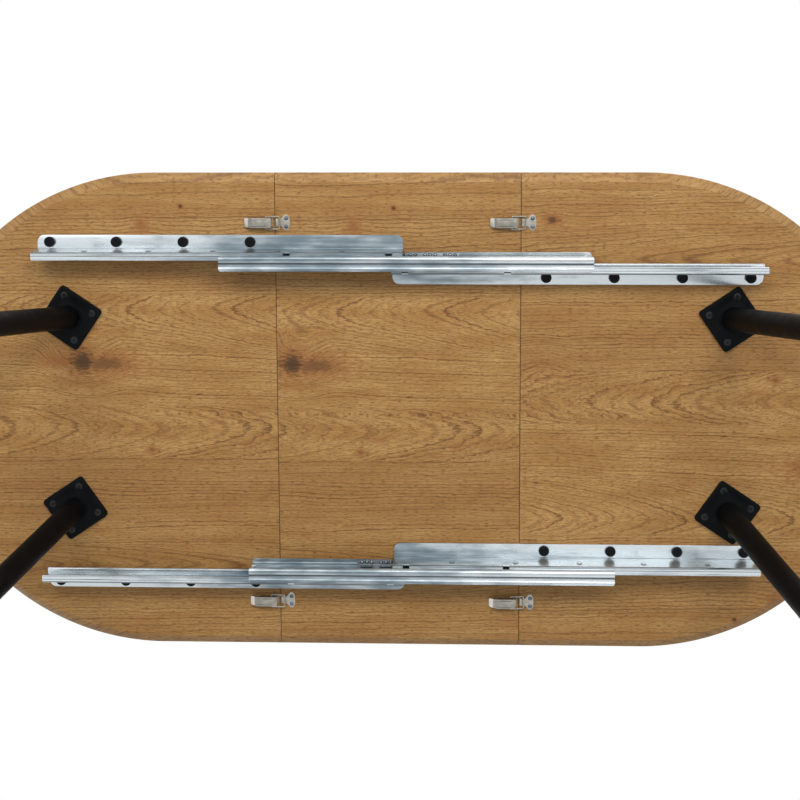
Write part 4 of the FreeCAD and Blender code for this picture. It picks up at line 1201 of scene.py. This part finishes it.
@dataclass(frozen=True)
class Bend:
    """A corner of a rolled section's mid-line, in millimetres.

    out is measured from the slide's mid-plane, drop from the underside of the top, radius is that of
    the mid-line, and the last is how much shade is painted into the crease.
    """

    out: float
    drop: float
    radius: float = 0.0
    grime: float = 0.0

    def place(self) -> Vector:
        """The corner as a point of the section."""
        return Vector((self.out, self.drop))


@dataclass(frozen=True)
class Opening:
    """A slot or window in a strip: its ends along X in metres and its reach in the section."""

    start: float
    end: float
    out: tuple[float, float]
    drop: tuple[float, float]

    def holds(self, x: float, spot: Vector) -> bool:
        """Whether a cell of the strip lies in the opening."""
        return (self.start < x < self.end and self.out[0] < spot.x < self.out[1]
                and self.drop[0] < spot.y < self.drop[1])


def rounded_line(bends: Sequence[Bend], steps: int = 4, margin: float = 0.45) -> list[tuple[Vector, float]]:
    """Stations along a strip's mid-line with its corners rounded.

    Args:
        bends: The corners, from one long edge of the strip to the other.
        steps: Faces across each rounded corner.
        margin: How far past a shaded corner the painted shade has faded.

    Returns:
        Each station's place in the section and its painted shade.
    """
    line = [(bends[0].place(), bends[0].grime)]
    for before, here, after in zip(bends, bends[1:], bends[2:]):
        corner = here.place()
        back = (before.place() - corner).normalized()
        ahead = (after.place() - corner).normalized()
        if here.radius == 0:
            line.append((corner, here.grime))
            continue
        half = back.angle(ahead) / 2
        reach = here.radius / math.tan(half)
        centre = corner + (back + ahead).normalized() * here.radius / math.sin(half)
        start, end = corner + back * reach - centre, corner + ahead * reach - centre
        if here.grime:
            line.append((corner + back * (reach + margin), 0.0))
        first = math.atan2(start.y, start.x)
        swing = (math.atan2(end.y, end.x) - first + math.pi) % (2 * math.pi) - math.pi
        for step in range(steps + 1):
            angle = first + swing * step / steps
            line.append((centre + here.radius * Vector((math.cos(angle), math.sin(angle))), here.grime))
        if here.grime:
            line.append((corner + ahead * (reach + margin), 0.0))
    line.append((bends[-1].place(), bends[-1].grime))
    return line


@dataclass
class RolledStrip:
    """A length of sheet rolled to a section, with its ends trimmed and slots cut through it."""

    bends: Sequence[Bend]
    thick: float
    start: float
    end: float
    trim: Callable[[float], float] = lambda out: 0.0
    openings: Sequence[Opening] = ()

    def into(self, shape: bmesh.types.BMesh, mid_plane: float, under: float, facing: int) -> None:
        """Adds the strip to a mesh.

        Args:
            shape: The mesh; it has a float layer on its points for the shade painted into creases.
            mid_plane: Y of the slide's mid-plane, in metres.
            under: Height of the underside of the top, in metres.
            facing: The side of the mid-plane that the strip is on, -1 or 1.
        """
        grime = shape.verts.layers.float.get("grime") or shape.verts.layers.float.new("grime")
        line = rounded_line(self.bends)
        columns = sorted({self.start, self.end, *(end for o in self.openings for end in (o.start, o.end))})
        skins: list[list[list[bmesh.types.BMVert]]] = []
        for side in (-1, 1):
            skin = []
            for x in columns:
                row = []
                for number, (spot, dark) in enumerate(line):
                    place = spot + self.normal(line, number) * side * self.thick / 2
                    cut = self.trim(place.x) * MM
                    inner_x = min(max(x, self.start + cut), self.end - cut)
                    vert = shape.verts.new((inner_x, mid_plane + facing * place.x * MM, under - place.y * MM))
                    vert[grime] = dark
                    row.append(vert)
                skin.append(row)
            skins.append(skin)
        near, far = skins
        solid = {(c, s) for c in range(len(columns) - 1) for s in range(len(line) - 1)
                 if not any(o.holds((columns[c] + columns[c + 1]) / 2, (line[s][0] + line[s + 1][0]) / 2)
                            for o in self.openings)}
        for c, s in solid:
            ring = ((c, s), (c + 1, s), (c + 1, s + 1), (c, s + 1))
            shape.faces.new([near[i][k] for i, k in ring])
            shape.faces.new([far[i][k] for i, k in reversed(ring)])
            for number, beside in enumerate(((c, s - 1), (c + 1, s), (c, s + 1), (c - 1, s))):
                if beside not in solid:
                    (a, b), (d, e) = ring[number], ring[(number + 1) % 4]
                    shape.faces.new((near[d][e], near[a][b], far[a][b], far[d][e]))

    @staticmethod
    def normal(line: Sequence[tuple[Vector, float]], number: int) -> Vector:
        """Direction across the strip at one station, long enough to keep its thickness round a corner.

        Args:
            line: The strip's stations.
            number: Which station.

        Returns:
            The direction.
        """
        here = line[number][0]
        before = line[max(number - 1, 0)][0]
        after = line[min(number + 1, len(line) - 1)][0]
        arriving = (here - before).normalized() if here != before else (after - here).normalized()
        leaving = (after - here).normalized() if after != here else arriving
        first, second = Vector((-arriving.y, arriving.x)), Vector((-leaving.y, leaving.x))
        middle = (first + second).normalized()
        return middle / max(middle.dot(first), 0.3)


def cut_back(past: float, radius: float) -> float:
    """How far a rounded corner is cut back at a distance past its start, in the radius's unit."""
    return radius - math.sqrt(max(radius ** 2 - min(max(past, 0.0), radius) ** 2, 0.0))


@dataclass
class TelescopicSlide:
    """One slide: two outer rails, two middle channels back to back, four ball rows in two cages.

    The lips of rails and channels are formed to races: the rails' lips have a groove over the balls
    and the channels' lips a ridge under them. Sizes of the sections are in millimetres, as a Bend's are.
    """

    side: Side
    mid_plane: float = SLIDE_Y
    under: float = UNDER
    rail_reach: float = 591 * MM
    rail_over: float = 9 * MM
    rail_sheet: float = 2.0
    rail_top: float = 1.3
    rail_web: float = 16.6
    rail_low: float = 46.8
    flange_start: float = 28.4
    flange_corner: float = 12.0
    lip_end: float = 6.6
    lip_corner: float = 2.2
    channel_sheet: float = 1.5
    channel_half: float = 300 * MM
    channel_web: float = 0.8
    channel_edge: float = 12.15
    channel_upper: float = 4.35
    channel_lower: float = 51.65
    channel_corner: float = 5.0
    cage_sheet: float = 0.8
    cage_web: float = 3.6
    cage_edge: float = 11.6
    race_drops: tuple[float, float] = (6.75, 49.25)
    ball_out: float = 8.6 * MM
    tab_length: float = 7 * MM
    tab_inset: float = 2.5 * MM
    slot_places: tuple[float, float] = (13 * MM, 177 * MM)
    slot_length: float = 11 * MM
    dimple_first: float = 507.6 * MM
    dimple_pitch: float = 104.8 * MM
    dimple_count: int = 5
    dimple_out: float = 17.6 * MM
    dimple_drop: float = 30 * MM
    dimple_half: tuple[float, float] = (4.6, 6.8)
    dimple_sides: int = 24
    ring_sides: int = 18
    ball_radius: float = 2.2 * MM
    ball_pitch: float = 8.1 * MM
    group_pitch: float = 32.2 * MM
    groups: int = 10
    window: float = 19 * MM
    soft_edge: float = 0.22 * MM

    def build(self) -> None:
        """Makes rails, channels, cages and balls, and dresses the rivets."""
        for end in End:
            spot = f"{self.side.word}_{end.word}"
            facing = -self.side.value * end.value
            self.rail(spot, end, facing)
            self.channel(spot, facing)
            self.cage(spot, facing)
            self.ball_rows(spot)
        dress(f"slide_rivets_{self.side.word}", ZINC.material())

    def rolled(self, node: str, strips: Sequence[RolledStrip], facing: int, finish: Finish) -> None:
        """Joins strips into one mesh, softens the sheet's edges and puts it in its node's place.

        Args:
            node: The CAD node.
            strips: What it is made of.
            facing: The side of the mid-plane that it is on.
            finish: Its finish.
        """
        shape = bmesh.new()
        for strip in strips:
            strip.into(shape, self.side.value * self.mid_plane, self.under, facing)
        bmesh.ops.recalc_face_normals(shape, faces=shape.faces)
        round_edges(shape, 60.0, self.soft_edge)
        piece = mesh_piece(node + "_rolled", plain_mesh(node + "_rolled", shape, 40.0))
        piece.data.materials.append(finish.material())
        settle(piece, body_with(node), [node])

    def rail(self, spot: str, end: End, facing: int) -> None:
        """An outer rail: bolted flange, web with pressed dimples, and two lips formed to races.

        Args:
            spot: The slide's side and half, as in the nodes' names.
            end: The half of the table.
            facing: The side of the mid-plane that it is on, -1 or 1.
        """
        flange = [Bend(self.flange_start + self.flange_corner * share, self.rail_top)
                  for share in (1.0, 0.975, 0.92, 0.81, 0.64, 0.40, 0.0)]
        # a bend's last number is the shade painted into its crease
        web = [Bend(self.rail_web, self.rail_top, 2.0, 0.30), Bend(self.rail_web, 42.5),
               Bend(self.rail_web, self.rail_low, 1.7, 0.75)]
        lip = [Bend(11.9, self.rail_low, 0.7, 0.55), Bend(11.2, 46.0, 0.6), Bend(6.6, 46.0, 0.6),
               Bend(5.9, self.rail_low, 0.6, 0.35), Bend(5.1, self.rail_low), Bend(4.6, self.rail_low)]
        upper = [Bend(16.4, 9.2), Bend(11.9, 9.2, 0.7), Bend(11.2, 10.0, 0.6), Bend(6.6, 10.0, 0.6),
                 Bend(5.9, 9.2, 0.6), Bend(4.6, 9.2)]

        def trim(out: float) -> float:
            """How far the ends are cut back to round the flange's corners and the lips' tips."""
            return (cut_back(out - self.flange_start, self.flange_corner)
                    + cut_back(self.lip_end - out, self.lip_corner))

        near, far = sorted((end.value * self.rail_reach, -end.value * self.rail_over))
        # the slots cut through the web's lower part and the start of the lip
        half, reach = self.slot_length / 2, self.flange_start + self.flange_corner
        slots = [Opening(end.value * place - half, end.value * place + half, (12.0, reach), (40.5, 50.0))
                 for place in self.slot_places]
        self.rolled(f"slide_rail_{spot}",
                    [RolledStrip([*flange, *web, *lip], self.rail_sheet, near, far, trim, slots),
                     RolledStrip(upper, self.rail_sheet, near, far, trim)], facing, ZINC)
        self.dimples(spot, end, facing)

    def dimples(self, spot: str, end: End, facing: int) -> None:
        """Oval dimples pressed out of a rail's web, with shade painted round their rims.

        Args:
            spot: The slide's side and half, as in the nodes' names.
            end: The half of the table.
            facing: The side of the mid-plane that it is on, -1 or 1.
        """
        # share of the dimple's width, height over the web in millimetres, and painted shade
        steps = ((1.0, -0.3, 1.0), (1.0, 0.0, 1.0), (0.95, 0.6, 0.9), (0.78, 1.1, 0.35), (0.42, 1.35, 0.0),
                 (0.10, 1.4, 0.0))
        along, down = self.dimple_half
        shape = bmesh.new()
        grime = shape.verts.layers.float.new("grime")
        rings = [[(along * MM * point.x, facing * height * MM, down * MM * point.y)
                  for point in circle(share, 0.0, self.dimple_sides)] for share, height, _ in steps]
        rows = shell(shape, rings)
        for row, (_, _, amount) in zip(rows, steps):
            for vert in row:
                vert[grime] = amount
        master = mesh_piece("dimple", plain_mesh("dimple", shape, 60.0))
        y, z = self.side.value * self.mid_plane + facing * self.dimple_out, self.under - self.dimple_drop
        places = [Vector((end.value * (self.dimple_first - i * self.dimple_pitch), y, z))
                  for i in range(self.dimple_count)]
        piece = repeated(f"slide_rail_{spot}_dimples", master, places, ZINC)
        settle(piece, body_with(f"slide_rail_{spot}"))

    def channel(self, spot: str, facing: int) -> None:
        """A middle channel: web at the mid-plane, lips with a ridge under the balls, end tabs.

        Args:
            spot: The slide's side and half, as in the nodes' names.
            facing: The side of the mid-plane that it is on, -1 or 1.
        """
        node = f"slide_middle_{spot}"
        low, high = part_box(node)
        web, edge, above, below = self.channel_web, self.channel_edge, self.channel_upper, self.channel_lower
        # place, ridge, radius and painted shade of each corner along a lip
        race = ((4.4, 0.0, 0.0, 0.0), (5.3, 0.0, 0.5, 0.50), (5.9, 0.6, 0.5, 0.0), (9.7, 0.6, 0.5, 0.0),
                (10.3, 0.0, 0.5, 0.45))
        upper = [Bend(out, above - ridge, radius) for out, ridge, radius, _ in reversed(race)]
        lower = [Bend(out, below + ridge, radius, grime) for out, ridge, radius, grime in race]
        # the web has stations at the upper and lower edge of its holes
        # a bend's last number is the shade painted into its crease
        bends = [Bend(edge, 5.4), Bend(edge, above, 0.85), *upper, Bend(web, above, 0.95), Bend(web, 31.0),
                 Bend(web, 35.5), Bend(web, below, 0.95, 0.8), *lower, Bend(edge, below, 0.85),
                 Bend(edge, 50.9)]

        def trim(out: float) -> float:
            """How far the ends are cut back to round the lips' corners."""
            return cut_back(out - 7.9, self.channel_corner)

        centre = (low.x + high.x) / 2
        start, end = centre - self.channel_half, centre + self.channel_half
        holes = [Opening(place, place + length * MM, (0.0, 2 * web), (31.0, 35.5))
                 for place, length in ((start + 43 * MM, 4.5), (start + 57 * MM, 4.5), (start + 68 * MM, 11),
                                       (end - 79 * MM, 11), (end - 61.5 * MM, 4.5))]
        tab = [Bend(0.9, 33.0), Bend(9.6, 33.0, 0.8), Bend(10.4, 30.0)]
        strips = [RolledStrip(bends, self.channel_sheet, start, end, trim, holes)]
        for first in (start + self.tab_inset, end - self.tab_inset - self.tab_length):
            strips.append(RolledStrip(tab, self.channel_sheet, first, first + self.tab_length))
        self.rolled(node, strips, facing, ZINC)

    def cage(self, spot: str, facing: int) -> None:
        """A ball cage: a thin C strip with windows, a rim round every ball, and a dark ring of grease and
        painted shade.

        Args:
            spot: The slide's side and half, as in the nodes' names.
            facing: The side of the mid-plane that it is on, -1 or 1.
        """
        node = f"ball_cage_{spot}"
        low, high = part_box(node)
        middles = [(low.x + high.x) / 2 + (group - (self.groups - 1) / 2) * self.group_pitch
                   for group in range(self.groups)]
        windows = [Opening(middle - self.window / 2, middle + self.window / 2, (3.0, 4.2), (15.0, 41.0))
                   for middle in middles]
        upper, lower = self.race_drops
        bends = [Bend(self.cage_edge, upper), Bend(self.cage_web, upper, 0.8), Bend(self.cage_web, 15.0),
                 Bend(self.cage_web, 41.0), Bend(self.cage_web, lower, 0.8), Bend(self.cage_edge, lower)]
        self.rolled(node, [RolledStrip(bends, self.cage_sheet, low.x, high.x, openings=windows)], facing,
                    ZINC_CAGE)
        y = self.side.value * self.mid_plane + facing * self.ball_out
        places = [Vector((middle + step * self.ball_pitch, y, self.under - drop * MM))
                  for middle in middles for step in (-1, 0, 1) for drop in self.race_drops]
        # radius and height of the corners of each ring's section, in millimetres
        for kind, section, finish in (
                ("rims", ((2.75, 0.62), (3.25, 0.66), (3.62, 0.30), (3.62, -0.30), (3.25, -0.66),
                          (2.75, -0.62)), ZINC_CAGE),
                # the dark ring is partly grease and partly painted shade of the gap round each ball
                ("grease", ((2.05, 0.46), (2.78, 0.50), (2.78, -0.50), (2.05, -0.46)), GREASE_AND_GAP_SHADE)):
            rings = [circle(radius * MM, height * MM, self.ring_sides) for radius, height in section]
            piece = repeated(f"{node}_{kind}", shell_piece("ring", rings, 50.0, capped=False), places, finish)
            settle(piece, body_with(node))

    def ball_rows(self, spot: str) -> None:
        """Every ball of one cage, in groups of three along both races.

        Args:
            spot: The slide's side and half, as in the nodes' names.
        """
        low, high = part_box(f"balls_{spot}")
        centre = (low + high) / 2
        start = (centre.x - (self.groups - 1) / 2 * self.group_pitch - self.ball_pitch, centre.y,
                 low.z + self.ball_radius)
        row_gap = high.z - low.z - 2 * self.ball_radius
        values = {"Groups": self.groups, "Group pitch": self.group_pitch, "Ball pitch": self.ball_pitch,
                  "Ball radius": self.ball_radius, "Row gap": row_gap, "Start": start,
                  "Finish": BEARING_STEEL.material()}
        name = f"balls_{spot}_rows"
        tree = bpy.data.node_groups.get("ball_rows") or ball_row_tree()
        piece = grown(name, tree, bpy.data.meshes.new(name), values)
        settle(piece, f"cage_{spot}", [f"balls_{spot}"])


@dataclass
class SlideBolts:
    """Low-headed black socket bolts, four to a rail."""

    under: float = UNDER
    slide_y: float = SLIDE_Y
    bolt_out: float = 29 * MM
    first: float = 571 * MM
    pitch: float = 110 * MM
    count: int = 4
    seat: float = 2.3 * MM
    head_radius: float = 8.75 * MM
    head_thick: float = 3.6 * MM
    head_sides: int = 36
    socket: tuple[float, float] = (4 * MM, 2.2 * MM)
    shank_radius: float = 3 * MM
    shank_top: float = 9.5 * MM

    def build(self) -> None:
        """One set of bolts for each half of the table."""
        head, low = self.head_radius, -self.seat - self.head_thick
        outline = [(head * 0.80, low), (head * 0.90, low + 0.10 * MM), (head * 0.97, low + 0.45 * MM),
                   (head, low + 1.1 * MM), (head, low + 3.3 * MM), (head * 0.98, -self.seat),
                   (self.shank_radius, -self.seat), (self.shank_radius, self.shank_top)]
        for end in End:
            places = [Vector((end.value * (self.first - i * self.pitch),
                              side.value * (self.slide_y - end.value * self.bolt_out), self.under))
                      for side in Side for i in range(self.count)]
            master = socket_head("slide_bolt", outline, self.head_sides, self.socket)
            piece = repeated(f"slide_bolts_{end.word}_set", master, places, BLACK_OXIDE)
            settle(piece, f"{end.word}_half", [f"slide_bolts_{end.word}"])


# ---------------------------------------------------------------------------------------------
# Toggle latches
# ---------------------------------------------------------------------------------------------


@dataclass
class ToggleLatch:
    """One latch: base, lever, pin, wire bail and catch."""

    side: Side
    end: End
    soft_edge: float = 0.22 * MM

    def build(self) -> None:
        """Softens the pressed pieces, and dresses the pin and the wire."""
        spot = f"{self.side.word}_{self.end.word}"
        for kind, finish in (("base", NICKEL), ("lever", NICKEL_LEVER), ("catch", NICKEL)):
            softened(f"latch_{kind}_{spot}", finish.material(), self.soft_edge)
        for kind in ("pin", "bail"):
            dress(f"latch_{kind}_{spot}", NICKEL.material())


def build_latch_screws() -> None:
    """Dresses the wood screws of the latches."""
    for group in ("left", "leaf", "right"):
        dress(f"latch_screws_{group}", NICKEL_SCREW.material())


# ---------------------------------------------------------------------------------------------
# Studio
# ---------------------------------------------------------------------------------------------


@dataclass
class Studio:
    """Pale floor, soft lamps, white surroundings and the camera under the table."""

    camera_place: Vector = Vector((0.102, -0.620, -1.719))
    camera_tilt: tuple[float, float, float] = (-7.64, 2.15, -0.09)
    lens: float = 68.5
    shift_x: float = -0.0043
    shift_y: float = -0.20
    floor_size: float = 24.0
    floor_colour: str = "#F1F0EC"
    aim: tuple[float, float, float] = (0.0, 0.0, 0.73)
    aim_above: tuple[float, float, float] = (0.0, 0.0, 0.7)

    def build(self) -> None:
        """Sets the whole studio up."""
        self.floor()
        self.world()
        for name, place, power, sheen in (("left", (-1.3, -2.9, -2.63), 74.0, 84.0),
                                          ("right", (1.4, -2.8, -2.63), 96.0, 84.0)):
            self.lamp(f"key_{name}", place, self.aim, (1.7, 1.4), power, glossy=False)
            self.lamp(f"sheen_{name}", place, self.aim, (4.4, 3.4), sheen, diffuse=False)
        self.lamp("fill_below", (0.0, 0.6, -3.2), self.aim, (3.0, 3.0), 14.0, glossy=False)
        self.lamp("key_above", (1.2, -2.2, 3.0), self.aim_above, (2.4, 2.4), 70.0)
        self.lamp("fill_above", (-2.2, 1.6, 2.4), self.aim_above, (2.4, 2.4), 30.0)
        self.camera()
        bpy.context.scene.view_settings.view_transform = "Standard"

    def camera(self) -> None:
        """A camera below the table, looking almost straight up, with the front at the picture's top."""
        data = bpy.data.cameras.new("camera")
        data.lens = self.lens
        data.shift_x = self.shift_x
        data.shift_y = self.shift_y
        data.clip_end = 100.0
        eye = bpy.data.objects.new("camera", data)
        bpy.context.scene.collection.objects.link(eye)
        straight_up = Matrix(((1, 0, 0), (0, -1, 0), (0, 0, -1)))
        tilt = Vector([math.radians(angle) for angle in self.camera_tilt])
        turn = straight_up @ Matrix.Rotation(tilt.length, 3, tilt.normalized())
        eye.matrix_world = Matrix.Translation(self.camera_place) @ turn.to_4x4()
        bpy.context.scene.camera = eye

    def floor(self) -> None:
        """A pale floor that keeps the shadow from above and lets the camera see through from below."""
        half = self.floor_size / 2
        mesh = bpy.data.meshes.new("floor")
        mesh.from_pydata([(-half, -half, 0), (half, -half, 0), (half, half, 0), (-half, half, 0)], [],
                         [(0, 1, 2, 3)])
        floor = mesh_piece("floor", mesh)
        material = bpy.data.materials.new("pale_floor")
        material.use_nodes = True
        tree = material.node_tree
        tree.nodes.clear()
        back = add(tree, "ShaderNodeNewGeometry", out="Backfacing")
        pale = add(tree, "ShaderNodeBsdfDiffuse", self.floor_colour)
        # the far floor stays pale in the picture, without more light on the table
        rays = add(tree, "ShaderNodeLightPath", out="Is Camera Ray")
        glow = add(tree, "ShaderNodeEmission", self.floor_colour, add(tree, "MULTIPLY", rays, 0.22))
        pale = add(tree, "ShaderNodeAddShader", pale, glow)
        clear = add(tree, "ShaderNodeBsdfTransparent")
        add(tree, "ShaderNodeOutputMaterial", add(tree, "ShaderNodeMixShader", back, pale, clear))
        mesh.materials.append(material)
        # lamps under the floor light the table's underside, so the floor stops only the camera's rays
        floor.visible_shadow = False
        floor.visible_diffuse = False
        floor.visible_glossy = False

    def world(self) -> None:
        """White behind the table and in its reflections, and a soft light from all round."""
        world = bpy.data.worlds.new("studio")
        bpy.context.scene.world = world
        world.use_nodes = True
        tree = world.node_tree
        tree.nodes.clear()
        rays = add(tree, "ShaderNodeLightPath").node.outputs
        seen = rays["Is Camera Ray"]
        for kind in ("Is Glossy Ray", "Is Transmission Ray"):
            seen = add(tree, "MAXIMUM", seen, rays[kind])
        strength = add(tree, RANGE, {0: seen, 3: 0.32, 4: 1.0})
        add(tree, "ShaderNodeOutputWorld", add(tree, "ShaderNodeBackground", "#FFFFFF", strength))

    @staticmethod
    def lamp(name: str, place: Sequence[float], target: Sequence[float], size: tuple[float, float],
             power: float, diffuse: bool = True, glossy: bool = True) -> None:
        """One rectangular softbox aimed at a point.

        Args:
            name: Its name.
            place: Where it stands.
            target: What it points at.
            size: Width and height.
            power: Watts.
            diffuse: Whether it lights plain surfaces.
            glossy: Whether metal and gloss reflect it.
        """
        data = bpy.data.lights.new(name, "AREA")
        data.shape = "RECTANGLE"
        data.size, data.size_y = size
        data.energy = power
        box = bpy.data.objects.new(name, data)
        box.visible_diffuse = diffuse
        box.visible_glossy = glossy
        bpy.context.scene.collection.objects.link(box)
        box.location = place
        aim = Vector(target) - Vector(place)
        box.rotation_euler = aim.to_track_quat("-Z", "Y").to_euler()


def main() -> None:
    """Builds the table's pieces in order, then the studio."""
    logging.basicConfig(level=logging.INFO, format="%(message)s")
    TableTop().build()
    Legs().build()
    for side in Side:
        TelescopicSlide(side).build()
        for end in End:
            ToggleLatch(side, end).build()
    SlideBolts().build()
    build_latch_screws()
    Studio().build()


if __name__ == "__main__":
    main()
